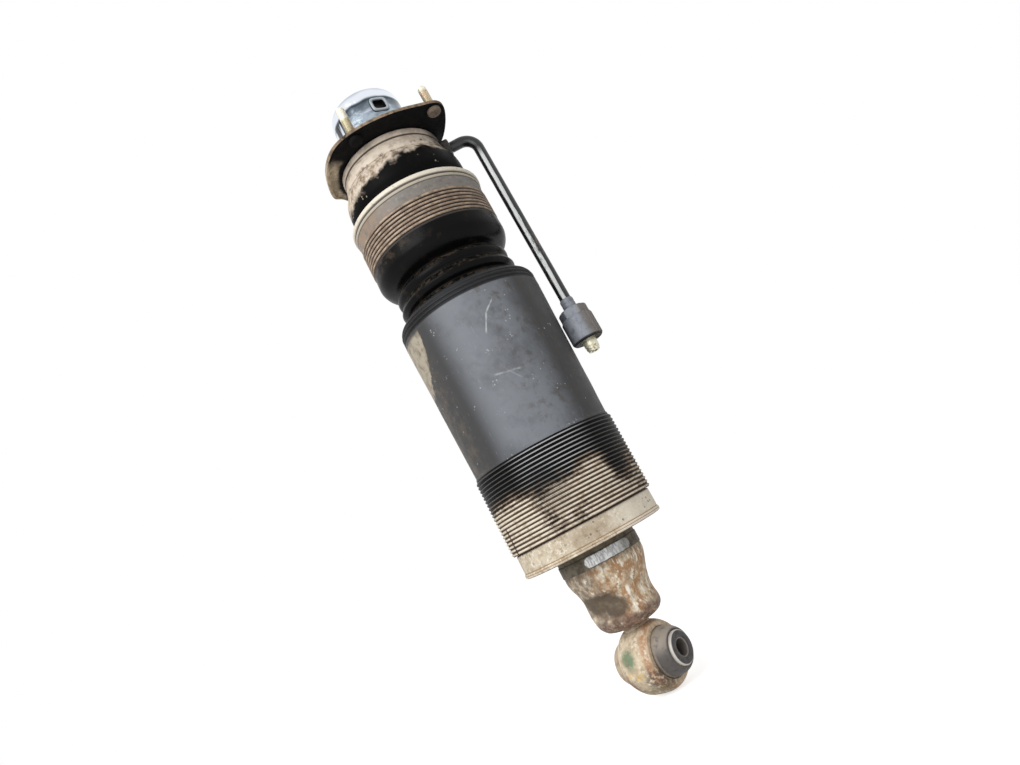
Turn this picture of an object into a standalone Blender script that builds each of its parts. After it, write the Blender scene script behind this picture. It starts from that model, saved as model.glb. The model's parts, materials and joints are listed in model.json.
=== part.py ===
"""Rear suspension strut with a hydraulic plunger, a coil spring and a gas damper inside.

The strut stands on its axis, +Z up. The origin is on the top face of the mounting plate, and +X runs along
the bolt axis of the lower eye. Sizes below are in millimetres, and the objects are built in metres.
"""

import math

import bmesh
import bpy
from mathutils import Matrix, Vector

MM = 0.001

# Driving dimensions, in millimetres
GAP = 0.35                    # kept between pieces that touch
SLIDE = 0.3                   # radial room of a piece that slides in a bore
CLOCK = 40.0                  # degrees, the hydraulic side seen from the eye's bolt axis
PLATE_THICK = 3.5
PLATE_HOLE_R = 22.0
SKIRT_POINTS = (8, 12)        # the outline's points between which the edge is folded down
SKIRT_DEPTH = 6.5
SKIRT_WALL = 3.0
STUDS = ((55.8, -45.1, 22.0), (-17.6, -60.5, 30.0), (-20.7, 58.4, 27.0))  # place in plan and top
STUD_R = 4.0
STUD_HEAD_R = 6.3
STUD_HEAD = 4.0
CAP_R = 35.0
CAP_TOP = 62.4
CAP_WALL = 2.5
CAP_CROWN = 9.0
SOCKET_ANGLE = -62.0
SOCKET_Z = 38.0
SOCKET_SIZE = (17.0, 15.0)
SOCKET_BORE = (12.0, 10.0)
SOCKET_FROM = 29.5
SOCKET_PROUD = 1.2
HOUSING_R = 50.0
HOUSING_BORE_R = 45.5
HOUSING_TOP = -3.9
HOUSING_GROOVE = -10.0
HOUSING_LOW = -24.0
ISOLATOR_R = 39.6
BUSH_R = 12.2
BOOT_WALL = 3.0
BOOT_LOW = -59.8
CUP_TOP = -60.3
CUP_R = 62.8
CUP_RIM_R = 64.6
CUP_BORE_R = 58.0
CUP_FLOOR = 4.0
CUP_LOW = -117.0
CUP_RIB_TOP = -81.0
CUP_RIBS = 7
CUP_RIB_PITCH = 3.5
CUP_RIB_DEPTH = 1.5
BELLOWS_TOP = -106.8
BELLOWS_WALL = 2.0
PLUNGER_R = 39.6
PLUNGER_BORE_R = 34.5
PLUNGER_CROWN = -40.0
SEAT_TOP = -168.0             # upper spring seat, moved by the plunger
SEAT_R = 62.2
SEAT_THICK = 3.0
COVER_TOP = -163.3
COVER_TOP_R = 66.0
COVER_LOW_R = 62.3
COVER_WALL = 2.0
GAITER_TOP = -311.8
GAITER_LOW = -379.8
GAITER_R = 64.6
GAITER_BORE_R = 60.4
GAITER_RIBS = 21
GAITER_DEPTH = 1.2
RING_LOW = -400.0
RING_R = 61.6
RING_BORE_R = 59.0
RING_FLOOR = 3.0
CASTING_TOP = -373.0
CASTING_R = 35.0
CASTING_LOW = -469.4
CASTING_FLAT = (26.0, -108.0)  # distance from the axis and angle of the flat on the casting
BAND_TOP = -404.6
BAND_LOW = -414.4
ROD_R = 7.0
ROD_THREAD_R = 5.8
ROD_LOW = -262.0
TUBE_R = 22.0
TUBE_BORE_R = 19.0
TUBE_TOP = -215.0
TUBE_LOW = -451.0
TUBE_FLOOR = 4.0
CYLINDER_R = 44.0
CYLINDER_BORE_R = 40.0
CYLINDER_TOP = -28.0
CYLINDER_LOW = -110.0
GUIDE_R = 11.3
SPRING_R = 50.0
SPRING_WIRE = 12.0
SPRING_TURNS = 5.0
EYE_Z = -498.0
EYE_R = 28.0
EYE_BARREL = 4.4              # how much smaller the eye is at its faces
EYE_BORE_R = 20.0
EYE_HALF = 16.0
NECK_R = 11.5
SLEEVE_R = 13.4
SLEEVE_BORE_R = 6.4
SLEEVE_HALF = 30.5
PORT_SIZE = (17.0, 15.6, 13.2)
PORT_X = 49.0
PIPE_R = 5.2
PIPE_X = 80.6
PIPE_Z = -17.0
PIPE_BEND_R = 14.0
PIPE_LOW = -238.0
PIPE_START = 58.0
NIPPLE_LOW = -256.5
FERRULE_TOP = -203.0
FERRULE_R = 6.2
NUT_R = 14.6
NUT_TOP = -214.0
NUT_SHOULDER = -222.5
NUT_LOW = -246.0
NUT_COLLAR_R = 13.4
OUTSIDE_STEPS = 32
MIDDLE_STEPS = 24
INSIDE_STEPS = 16

# Plan view of the mounting plate, seen from above with the hydraulic side at +X
PLATE_OUTLINE = [
    (51, 9), (61, -12), (66, -37), (62, -51), (46, -59), (22, -67.5),
    (-4, -70.5), (-26, -67.5), (-43, -58), (-54, -42), (-61, -20), (-63.5, 2),
    (-56, 17), (-44, 46), (-30, 68), (-14, 70), (2, 58), (28, 43)]

PARTS = "rear_strut"
CUTTERS = "rear_strut_cutters"


def start():
    """Empties the scene and makes the two collections."""
    for obj in list(bpy.data.objects):
        bpy.data.objects.remove(obj, do_unlink=True)
    for name in (PARTS, CUTTERS):
        bpy.context.scene.collection.children.link(bpy.data.collections.new(name))


def material(name, colour, roughness, metallic):
    """A plain Principled finish."""
    made = bpy.data.materials.new(name)
    made.use_nodes = True
    shader = made.node_tree.nodes["Principled BSDF"]
    shader.inputs["Base Color"].default_value = (*colour, 1.0)
    shader.inputs["Roughness"].default_value = roughness
    shader.inputs["Metallic"].default_value = metallic
    return made


def make_materials():
    """Every finish of the strut, by name."""
    finishes = {
        "painted_steel": ((0.035, 0.033, 0.031), 0.55, 0.2),
        "zinc_stud": ((0.62, 0.52, 0.33), 0.35, 0.9),
        "bright_cap": ((0.82, 0.84, 0.86), 0.08, 1.0),
        "socket_plastic": ((0.12, 0.14, 0.16), 0.4, 0.0),
        "dusty_housing": ((0.46, 0.39, 0.31), 0.85, 0.0),
        "black_rubber": ((0.018, 0.017, 0.016), 0.6, 0.0),
        "grey_sleeve": ((0.33, 0.31, 0.29), 0.55, 0.1),
        "cover_plastic": ((0.07, 0.07, 0.073), 0.5, 0.0),
        "dusty_ring": ((0.50, 0.45, 0.37), 0.85, 0.0),
        "rusty_casting": ((0.42, 0.33, 0.23), 0.7, 0.4),
        "bright_band": ((0.70, 0.71, 0.70), 0.3, 1.0),
        "pipe_steel": ((0.05, 0.052, 0.055), 0.25, 0.8),
        "grey_nut": ((0.22, 0.23, 0.25), 0.5, 0.7),
        "nipple_zinc": ((0.72, 0.70, 0.55), 0.35, 0.7),
        "ground_steel": ((0.55, 0.56, 0.57), 0.2, 1.0),
        "spring_paint": ((0.04, 0.05, 0.09), 0.4, 0.1),
        "seal_rubber": ((0.03, 0.03, 0.03), 0.7, 0.0),
    }
    return {name: material(name, *values) for name, values in finishes.items()}


def add_object(name, data, finish, parent=None, cutter=False):
    """Links an object to the parts or the cutters, with its finish and its parent."""
    obj = bpy.data.objects.new(name, data)
    bpy.data.collections[CUTTERS if cutter else PARTS].objects.link(obj)
    obj.parent = parent
    if cutter:
        obj.hide_render = True
        obj.display_type = "WIRE"
    else:
        data.materials.append(finish)
    return obj


def add_empty(name, location=(0, 0, 0), turn=0.0, parent=None):
    """An empty that carries pieces, at a place in millimetres and turned about Z in degrees."""
    empty = bpy.data.objects.new(name, None)
    bpy.data.collections[PARTS].objects.link(empty)
    empty.parent = parent
    empty.location = Vector(location) * MM
    empty.rotation_euler = (0, 0, math.radians(turn))
    return empty


def smooth(mesh):
    """Shades a round piece smooth and keeps its edges sharp."""
    mesh.shade_smooth()
    mesh.set_sharp_from_angle(angle=math.radians(35))


def evaluated_mesh(obj, name):
    """The object's mesh with its modifiers in it, closed and facing out."""
    graph = bpy.context.evaluated_depsgraph_get()
    mesh = bpy.data.meshes.new_from_object(obj.evaluated_get(graph))
    mesh.name = name
    shape = bmesh.new()
    shape.from_mesh(mesh)
    bmesh.ops.remove_doubles(shape, verts=shape.verts, dist=1e-6)
    bmesh.ops.recalc_face_normals(shape, faces=shape.faces)
    shape.to_mesh(mesh)
    shape.free()
    return mesh


def turned_mesh(name, profile, steps, closed):
    """Turns a profile of (radius, height) points, in millimetres, about Z with a Screw modifier."""
    count = len(profile)
    edges = [(i, i + 1) for i in range(count - 1)]
    if closed:
        edges.append((count - 1, 0))
    line = bpy.data.meshes.new(name + "_profile")
    line.from_pydata([(r * MM, 0, z * MM) for r, z in profile], edges, [])
    holder = bpy.data.objects.new(name + "_profile", line)
    bpy.context.scene.collection.objects.link(holder)
    screw = holder.modifiers.new("turn", "SCREW")
    screw.steps = screw.render_steps = steps
    screw.use_merge_vertices = True
    screw.merge_threshold = 1e-6
    mesh = evaluated_mesh(holder, name)
    bpy.data.objects.remove(holder)
    smooth(mesh)
    return mesh


def turned(name, profile, finish, steps=OUTSIDE_STEPS, parent=None, closed=True):
    """A turned piece. A ring's profile is a closed loop, and a solid piece's runs from axis to axis."""
    return add_object(name, turned_mesh(name, profile, steps, closed), finish, parent)


def ring(name, inner, outer, low, high, finish, steps=INSIDE_STEPS, parent=None):
    """A plain ring between two radii and two heights."""
    profile = [(outer, high), (outer, low), (inner, low), (inner, high)]
    return turned(name, profile, finish, steps, parent)


def box_mesh(name, size):
    """A box about the origin."""
    mesh = bpy.data.meshes.new(name)
    shape = bmesh.new()
    bmesh.ops.create_cube(shape, size=1.0)
    bmesh.ops.scale(shape, vec=Vector(size) * MM, verts=shape.verts)
    shape.to_mesh(mesh)
    shape.free()
    return mesh


def box_cutter(name, size, location, turn, parent):
    """A box in the cutters' collection, its size, place and turn about Z given in its parent's frame."""
    obj = add_object(name, box_mesh(name, size), None, parent, cutter=True)
    obj.location = Vector(location) * MM
    obj.rotation_euler = (0, 0, math.radians(turn))
    return obj


def bar_mesh(name, radius, low, high, sides):
    """An upright bar with the given number of sides, between two heights."""
    mesh = bpy.data.meshes.new(name)
    shape = bmesh.new()
    bmesh.ops.create_cone(shape, cap_ends=True, segments=sides, radius1=radius * MM,
                          radius2=radius * MM, depth=(high - low) * MM)
    bmesh.ops.translate(shape, verts=shape.verts, vec=(0, 0, (low + high) / 2 * MM))
    shape.to_mesh(mesh)
    shape.free()
    return mesh


def bar_cutter(name, radius, low, high, location, parent, sides=INSIDE_STEPS):
    """An upright bar in the cutters' collection."""
    obj = add_object(name, bar_mesh(name, radius, low, high, sides), None, parent, cutter=True)
    obj.location = (location[0] * MM, location[1] * MM, 0)
    return obj


def boolean(obj, other, operation="DIFFERENCE"):
    """Cuts or joins another object with a Boolean modifier."""
    modifier = obj.modifiers.new(operation.lower(), "BOOLEAN")
    modifier.object = other
    modifier.operation = operation
    modifier.solver = "EXACT"


def polar(radius, degrees):
    """A point of the plan view at a radius and an angle."""
    angle = math.radians(degrees)
    return radius * math.cos(angle), radius * math.sin(angle)


def flat_outline(name, loops, low, high, smooth_points):
    """A mesh slab from closed outlines in plan: smooth Bezier loops, or straight ones with few points."""
    curve = bpy.data.curves.new(name, "CURVE")
    curve.dimensions = "2D"
    curve.fill_mode = "BOTH"
    curve.extrude = (high - low) / 2 * MM
    curve.resolution_u = 3
    for loop in loops:
        kind = "BEZIER" if smooth_points else "POLY"
        spline = curve.splines.new(kind)
        spline.use_cyclic_u = True
        points = spline.bezier_points if smooth_points else spline.points
        points.add(len(loop) - 1)
        for point, (x, y) in zip(points, loop):
            point.co = (x * MM, y * MM, 0) if smooth_points else (x * MM, y * MM, 0, 1)
            if smooth_points:
                point.handle_left_type = point.handle_right_type = "AUTO"
    holder = bpy.data.objects.new(name, curve)
    bpy.context.scene.collection.objects.link(holder)
    mesh = evaluated_mesh(holder, name)
    bpy.data.objects.remove(holder)
    mesh.transform(Matrix.Translation((0, 0, (low + high) / 2 * MM)))
    return mesh


def rounded_rectangle(width, height, radius, corner_points=3):
    """The corner points of a rectangle with round corners, run anticlockwise."""
    loop = []
    for turn in range(4):
        sx = 1 if turn in (0, 3) else -1
        sy = 1 if turn in (0, 1) else -1
        centre = (sx * (width / 2 - radius), sy * (height / 2 - radius))
        for step in range(corner_points):
            x, y = polar(radius, 90 * turn + 90 * step / (corner_points - 1))
            loop.append((centre[0] + x, centre[1] + y))
    return loop


def wire(name, points, radius, roundness, finish, parent):
    """A round wire or pipe along points, as a bevelled curve with closed ends."""
    curve = bpy.data.curves.new(name, "CURVE")
    curve.dimensions = "3D"
    curve.bevel_depth = radius * MM
    curve.bevel_resolution = roundness
    curve.use_fill_caps = True
    spline = curve.splines.new("POLY")
    spline.points.add(len(points) - 1)
    for point, place in zip(spline.points, points):
        point.co = (*(Vector(place) * MM), 1)
    return add_object(name, curve, finish, parent)


def folded_skirt(parent):
    """The stretch of the plate's edge that is folded down, as a slab to be joined to it."""
    inset = 0.995
    outer = PLATE_OUTLINE[SKIRT_POINTS[0]:SKIRT_POINTS[1]]
    inner = []
    for x, y in reversed(outer):
        shrink = 1 - SKIRT_WALL / math.hypot(x, y)
        inner.append((x * shrink, y * shrink))
    outer = [(x * inset, y * inset) for x, y in outer]
    mesh = flat_outline("plate_skirt", [outer + inner], -SKIRT_DEPTH, -0.6 * PLATE_THICK, False)
    return add_object("plate_skirt", mesh, None, parent, cutter=True)


def mounting_plate(finish, parent):
    """The stamped plate with its folded skirt, its stud holes and the hole for the rod's bush."""
    mesh = flat_outline("mount_plate", [PLATE_OUTLINE], -PLATE_THICK, 0, True)
    plate = add_object("mount_plate", mesh, finish, parent)
    boolean(plate, folded_skirt(parent), "UNION")
    through = 2 * PLATE_THICK
    for number, (x, y, _) in enumerate(STUDS, 1):
        boolean(plate, bar_cutter(f"stud_hole_{number}", STUD_R + GAP, -through, through, (x, y), parent))
    boolean(plate, bar_cutter("plate_centre_hole", PLATE_HOLE_R, -through, through, (0, 0), parent))


def mounting_studs(finish, parent):
    """Three studs pressed into the plate from below, each with a flat head and a chamfered tip."""
    head_top = -PLATE_THICK - GAP
    head_low = head_top - STUD_HEAD
    head = [(STUD_HEAD_R, head_top), (STUD_HEAD_R, head_low + 1), (STUD_HEAD_R - 1, head_low), (0, head_low)]
    for number, (x, y, tip) in enumerate(STUDS, 1):
        shank = [(0, tip), (STUD_R - 1, tip), (STUD_R, tip - 2), (STUD_R, head_top)]
        stud = turned(f"mount_stud_{number}", shank + head, finish, INSIDE_STEPS, parent, closed=False)
        stud.location = Vector((x, y, 0)) * MM


def bright_cap(finish, socket_finish, parent):
    """The polished cap on the plate and the square sensor socket in its side."""
    shoulder_r = CAP_R - CAP_CROWN
    shoulder_z = CAP_TOP - CAP_CROWN
    arc = [polar(CAP_CROWN, angle) for angle in (90, 68, 45, 22, 0)]
    outer = [(shoulder_r + x, shoulder_z + y) for x, y in arc]
    ceiling = CAP_TOP - CAP_WALL
    inner = [(CAP_R - CAP_WALL, GAP), (CAP_R - CAP_WALL, shoulder_z), (shoulder_r, ceiling), (0, ceiling)]
    profile = [(0, CAP_TOP), *outer, (CAP_R, GAP), *inner]
    cap = turned("top_cap", profile, finish, OUTSIDE_STEPS, parent, closed=False)
    frame = add_empty("socket_frame", (0, 0, SOCKET_Z), SOCKET_ANGLE, parent)
    opening = (4 * CAP_WALL, SOCKET_SIZE[0] + 2 * GAP, SOCKET_SIZE[1] + 2 * GAP)
    boolean(cap, box_cutter("socket_hole", opening, (CAP_R - 2, 0, 0), 0, frame))
    loops = [rounded_rectangle(*SOCKET_SIZE, 3.0), rounded_rectangle(*SOCKET_BORE, 2.0)]
    mesh = flat_outline("sensor_socket", loops, SOCKET_FROM, CAP_R + SOCKET_PROUD, False)
    socket = add_object("sensor_socket", mesh, socket_finish, frame)
    socket.rotation_euler = (math.radians(90), 0, math.radians(90))


def upper_housing(finishes, axis, clocked):
    """The housing under the plate with its rubber isolator, its boot and the bush that takes the rod."""
    groove = HOUSING_GROOVE
    profile = [(HOUSING_R - 1, HOUSING_TOP), (HOUSING_R, HOUSING_TOP - 1.2), (HOUSING_R, groove + 0.4),
               (HOUSING_R - 1.8, groove - 0.2), (HOUSING_R - 1.8, groove - 1.2),
               (HOUSING_R - 0.6, groove - 1.8), (HOUSING_R + 2, HOUSING_LOW + 2),
               (HOUSING_R + 1.8, HOUSING_LOW), (HOUSING_BORE_R, HOUSING_LOW), (HOUSING_BORE_R, HOUSING_TOP)]
    housing = turned("mount_housing", profile, finishes["dusty_housing"], OUTSIDE_STEPS, axis)
    slot = (24.0, PORT_SIZE[1] + 1.4, 22.0)
    boolean(housing, box_cutter("port_slot", slot, (HOUSING_R, 0, PIPE_Z - 3.1), 0, clocked))
    ring("isolator_rubber", BUSH_R + 0.4, ISOLATOR_R, HOUSING_LOW + 0.4, -PLATE_THICK - 0.8,
         finishes["seal_rubber"], parent=axis)
    ring("rod_bush", ROD_R + 0.4, BUSH_R, HOUSING_LOW - 2.5, 3.0, finishes["ground_steel"], parent=axis)
    boot_out = [(HOUSING_R + 1.8, HOUSING_LOW - GAP), (53.8, -27), (56.6, -32), (58, -39), (58, -48), (56, -54),
                (53.8, BOOT_LOW)]
    boot_in = [(r - BOOT_WALL, z) for r, z in reversed(boot_out)]
    turned("upper_boot", boot_out + boot_in, finishes["black_rubber"], MIDDLE_STEPS, axis)


def rib_profile(top, count, pitch, radius, depth):
    """Rounded ribs down a sleeve: a crest and a root for each, as (radius, height) points."""
    points = []
    for rib in range(count):
        crest = top - rib * pitch - 0.25 * pitch
        points += [(radius, crest), (radius - depth, crest - 0.5 * pitch)]
    return points


def plunger_housing(finishes, axis):
    """The fixed sleeve with its pale rim and ribs, and the hydraulic cylinder inside it."""
    rim = [(CUP_RIM_R - 1.4, CUP_TOP), (CUP_RIM_R, CUP_TOP - 1.2), (CUP_RIM_R, CUP_TOP - 4.3),
           (CUP_R - 0.4, CUP_TOP - 4.9), (CUP_R - 0.4, CUP_TOP - 5.9), (CUP_R + 0.9, CUP_TOP - 6.5),
           (CUP_R + 0.9, CUP_TOP - 7.9), (CUP_R, CUP_TOP - 8.9)]
    ribs = rib_profile(CUP_RIB_TOP, CUP_RIBS, CUP_RIB_PITCH, CUP_R + 0.6, CUP_RIB_DEPTH)
    spigot_r = CUP_BORE_R + 2
    floor = CUP_TOP - CUP_FLOOR
    low = [(CUP_R - 0.4, BELLOWS_TOP + GAP), (spigot_r, BELLOWS_TOP + GAP), (spigot_r, CUP_LOW),
           (CUP_BORE_R, CUP_LOW), (CUP_BORE_R, floor), (CYLINDER_R + GAP, floor), (CYLINDER_R + GAP, CUP_TOP)]
    turned("plunger_sleeve", rim + ribs + low, finishes["grey_sleeve"], OUTSIDE_STEPS, axis)
    head = CYLINDER_TOP - 8
    cylinder = [(CYLINDER_R, CYLINDER_TOP), (CYLINDER_R, CYLINDER_LOW), (CYLINDER_BORE_R, CYLINDER_LOW),
                (CYLINDER_BORE_R, head), (GUIDE_R + SLIDE, head), (GUIDE_R + SLIDE, CYLINDER_TOP)]
    turned("plunger_cylinder", cylinder, finishes["ground_steel"], MIDDLE_STEPS, axis)
    foot = CYLINDER_LOW - 2
    guide = [(GUIDE_R, CYLINDER_TOP), (GUIDE_R, foot), (24, foot), (24, foot - 1.6), (ROD_R + 0.4, foot - 1.6),
             (ROD_R + 0.4, CYLINDER_TOP)]
    turned("guide_sleeve", guide, finishes["ground_steel"], INSIDE_STEPS, axis)


def folding_bellows(finish, axis):
    """The rubber bellows between the fixed sleeve and the moving cover, with its collar, folds and lip."""
    collar = [(63, BELLOWS_TOP), (63.2, -116), (62.3, -120.5), (60, -124.8), (56, -128.3), (51, -130.4)]
    folds = [(49.2, -132.4), (52.2, -134.4), (54.6, -137.4), (54.4, -141), (52.4, -144), (54.4, -147),
             (56.2, -150.6), (54.4, -154.4), (51.6, -157), (53.6, -160)]
    lip = [(56.4, -163), (56.4, SEAT_TOP + GAP)]
    outer = collar + folds + lip
    inner = [(r - BELLOWS_WALL, z) for r, z in reversed(outer)]
    turned("bellows", outer + inner, finish, MIDDLE_STEPS, axis)


def plunger(finishes, axis):
    """The annular plunger, its seal and guide band, and the spring seat on its foot."""
    seal_top = PLUNGER_CROWN - 6
    seal_low = seal_top - 4
    band_top = seal_low - 6
    band_low = band_top - 10
    foot = SEAT_TOP + GAP
    profile = [(PLUNGER_R, PLUNGER_CROWN), (PLUNGER_R, seal_top), (PLUNGER_R - 2.4, seal_top),
               (PLUNGER_R - 2.4, seal_low), (PLUNGER_R, seal_low), (PLUNGER_R, band_top),
               (PLUNGER_R - 1.4, band_top), (PLUNGER_R - 1.4, band_low), (PLUNGER_R, band_low),
               (PLUNGER_R, foot), (PLUNGER_BORE_R, foot), (PLUNGER_BORE_R, PLUNGER_CROWN - 14),
               (GUIDE_R + 0.4, PLUNGER_CROWN - 14), (GUIDE_R + 0.4, PLUNGER_CROWN)]
    turned("plunger", profile, finishes["ground_steel"], MIDDLE_STEPS, axis)
    outside = PLUNGER_R + 0.15
    ring("plunger_seal", PLUNGER_R - 2.1, outside, seal_low + SLIDE, seal_top - SLIDE,
         finishes["seal_rubber"], MIDDLE_STEPS, axis)
    ring("plunger_guide_band", PLUNGER_R - 1.1, outside, band_low + SLIDE, band_top - SLIDE,
         finishes["socket_plastic"], MIDDLE_STEPS, axis)
    under = SEAT_TOP - SEAT_THICK
    seat = [(SEAT_R, SEAT_TOP), (SEAT_R, under), (44, under), (41, under - 6), (PLUNGER_BORE_R, under - 6),
            (PLUNGER_BORE_R, SEAT_TOP)]
    turned("upper_spring_seat", seat, finishes["painted_steel"], MIDDLE_STEPS, axis)
    ring("upper_spring_pad", 44.4, 58.5, under - 3, under - GAP, finishes["seal_rubber"], MIDDLE_STEPS, axis)


def dust_cover(finishes, axis):
    """The tapered cover, its ribbed lower gaiter, the end ring and the wiper that seals on the casting."""
    shoulder = [(58, COVER_TOP), (61.5, COVER_TOP - 0.6), (64, COVER_TOP - 2.6), (65.2, COVER_TOP - 4.6)]
    ridges = [(64.4, -169.0), (65.6, -170.4), (64.9, -172.2), (66.0, -173.8), (65.2, -175.6),
              (COVER_TOP_R, -177.4)]
    low = [(COVER_LOW_R, GAITER_TOP + 2.2), (COVER_LOW_R + 0.8, GAITER_TOP + GAP),
           (COVER_LOW_R - COVER_WALL, GAITER_TOP + GAP)]
    ceiling = COVER_TOP - 3.1
    inside = [(COVER_TOP_R - 3.2, -178), (COVER_TOP_R - 3.2, ceiling), (58, ceiling)]
    turned("dust_cover", shoulder + ridges + low + inside, finishes["cover_plastic"], OUTSIDE_STEPS, axis)
    pitch = (GAITER_TOP - GAITER_LOW) / GAITER_RIBS
    ribs = rib_profile(GAITER_TOP, GAITER_RIBS, pitch, GAITER_R, GAITER_DEPTH)
    bore = [(RING_R - 0.6, GAITER_LOW), (GAITER_BORE_R, GAITER_LOW), (GAITER_BORE_R, GAITER_TOP)]
    gaiter = [(GAITER_R - 0.8, GAITER_TOP), *ribs, *bore]
    turned("ribbed_gaiter", gaiter, finishes["black_rubber"], MIDDLE_STEPS, axis)
    top = GAITER_LOW - GAP
    floor = RING_LOW + RING_FLOOR
    hole = CASTING_R + 4.6
    lip = [(RING_R, RING_LOW + 4.2), (RING_R + 0.9, RING_LOW + 3.4), (RING_R + 0.9, RING_LOW + 0.8),
           (RING_R, RING_LOW)]
    under = [(hole, RING_LOW), (hole, floor), (RING_BORE_R, floor), (RING_BORE_R, top)]
    end_ring = [(RING_R - 0.8, top), (RING_R, top - 0.85), *lip, *under]
    turned("end_ring", end_ring, finishes["dusty_ring"], OUTSIDE_STEPS, axis)
    wiper_r = CASTING_R + 1.3
    wiper = [(42.5, floor + 4), (42.5, floor + GAP), (hole - 0.4, floor + GAP), (hole - 0.4, RING_LOW + 0.6),
             (wiper_r, RING_LOW + 0.6), (wiper_r, floor), (CASTING_R + 2, floor + 4)]
    turned("wiper_seal", wiper, finishes["seal_rubber"], MIDDLE_STEPS, axis)


def damper_rod(finishes, axis):
    """The rod that hangs from the mount, with its nut above and its stops and piston below."""
    steel = finishes["ground_steel"]
    rubber = finishes["seal_rubber"]
    shoulder = ROD_LOW + 24
    pin_r = ROD_R - 2
    rod = [(0, 20), (5, 20), (ROD_THREAD_R, 19), (ROD_THREAD_R, 3.4), (ROD_R, 3.4), (ROD_R, shoulder),
           (pin_r, shoulder), (pin_r, ROD_LOW), (0, ROD_LOW)]
    turned("piston_rod", rod, steel, INSIDE_STEPS, axis, closed=False)
    ring("rod_washer", ROD_THREAD_R + 0.5, 18, 3.5, 6.0, steel, INSIDE_STEPS, axis)
    hex_nut("rod_nut", ROD_THREAD_R + 0.5, 11.0, 6.4, 16.0, finishes["zinc_stud"], axis)
    bore = ROD_R + 0.5
    stop = [(20, -114.2), (21.5, -122), (17, -126), (19, -133), (15, -138), (13, -148), (bore, -148),
            (bore, -114.2)]
    turned("bump_stop", stop, rubber, INSIDE_STEPS, axis)
    ring("rebound_stop", ROD_R + 0.4, 14, shoulder + 0.4, shoulder + 3.8, rubber, parent=axis)
    outside = TUBE_BORE_R - SLIDE
    top = shoulder - 0.4
    low = shoulder - 15.5
    piston = [(outside, top), (outside, top - 4.6), (17.2, top - 4.6), (17.2, low + 4.5), (outside, low + 4.5),
              (outside, low), (pin_r + 0.4, low), (pin_r + 0.4, top)]
    turned("piston", piston, steel, INSIDE_STEPS, axis)
    ring("piston_band", 17.5, outside, low + 4.8, top - 4.9, finishes["socket_plastic"], parent=axis)
    hex_nut("piston_nut", pin_r + 0.4, 9.0, ROD_LOW + 1, low - 0.5, steel, axis)


def damper_tube(finishes, axis):
    """The tube that slides on the rod, with its guide, its seal and the floating gas piston."""
    steel = finishes["ground_steel"]
    rubber = finishes["seal_rubber"]
    floor = TUBE_LOW + TUBE_FLOOR
    tube = [(0, floor), (TUBE_BORE_R, floor), (TUBE_BORE_R, TUBE_TOP), (TUBE_R - 1, TUBE_TOP),
            (TUBE_R, TUBE_TOP - 1), (TUBE_R, TUBE_LOW), (0, TUBE_LOW)]
    turned("damper_tube", tube, steel, MIDDLE_STEPS, axis, closed=False)
    outside = TUBE_BORE_R - SLIDE
    ring("rod_guide", ROD_R + GAP, outside, TUBE_TOP - 18.8, TUBE_TOP - 6, steel, parent=axis)
    ring("rod_seal", ROD_R + SLIDE, outside, TUBE_TOP - 5.6, TUBE_TOP - 1, rubber, parent=axis)
    top = -388.0
    floating = [(0, top), (outside, top), (outside, top - 4), (17, top - 4), (17, top - 8), (outside, top - 8),
                (outside, top - 14), (13, top - 14), (13, top - 5), (0, top - 5)]
    turned("floating_piston", floating, steel, INSIDE_STEPS, axis, closed=False)
    ring("floating_piston_seal", 17.3, outside, top - 7.7, top - 4.3, rubber, parent=axis)


def hex_nut(name, bore, corner_r, low, high, finish, parent, cutter=False):
    """A six-sided nut with a round hole."""
    nut = add_object(name, bar_mesh(name, corner_r, low, high, 6), finish, parent, cutter)
    boolean(nut, bar_cutter(name + "_hole", bore, low - 5, high + 5, (0, 0), parent))
    return nut


def least_self_gap(points, thickness, skip):
    """The least gap between turns of a wire, from its points: the centre distance less the wire."""
    nearest = min((a - b).length for i, a in enumerate(points) for b in points[i + skip:])
    return nearest - thickness


def coil_spring(finish, axis):
    """The coil spring between the two pads, one unbroken wire with closed ends."""
    points_per_turn = 10
    room = SPRING_WIRE / 2 + 0.8
    high = SEAT_TOP - 6 - GAP - room
    low = CASTING_TOP + 10.4 + room
    count = int(SPRING_TURNS * points_per_turn)
    closing = 0.35
    points = []
    for step in range(count + 1):
        share = step / count
        eased = share - math.sin(4 * math.pi * share) / (4 * math.pi) * closing
        x, y = polar(SPRING_R, 360 * SPRING_TURNS * share)
        points.append(Vector((x, y, low + (high - low) * eased)))
    gap = least_self_gap(points, SPRING_WIRE, points_per_turn // 2)
    print(f"coil_spring least gap to itself {gap:.1f} mm")
    wire("coil_spring", points, SPRING_WIRE / 2, 1, finish, axis)


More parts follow.
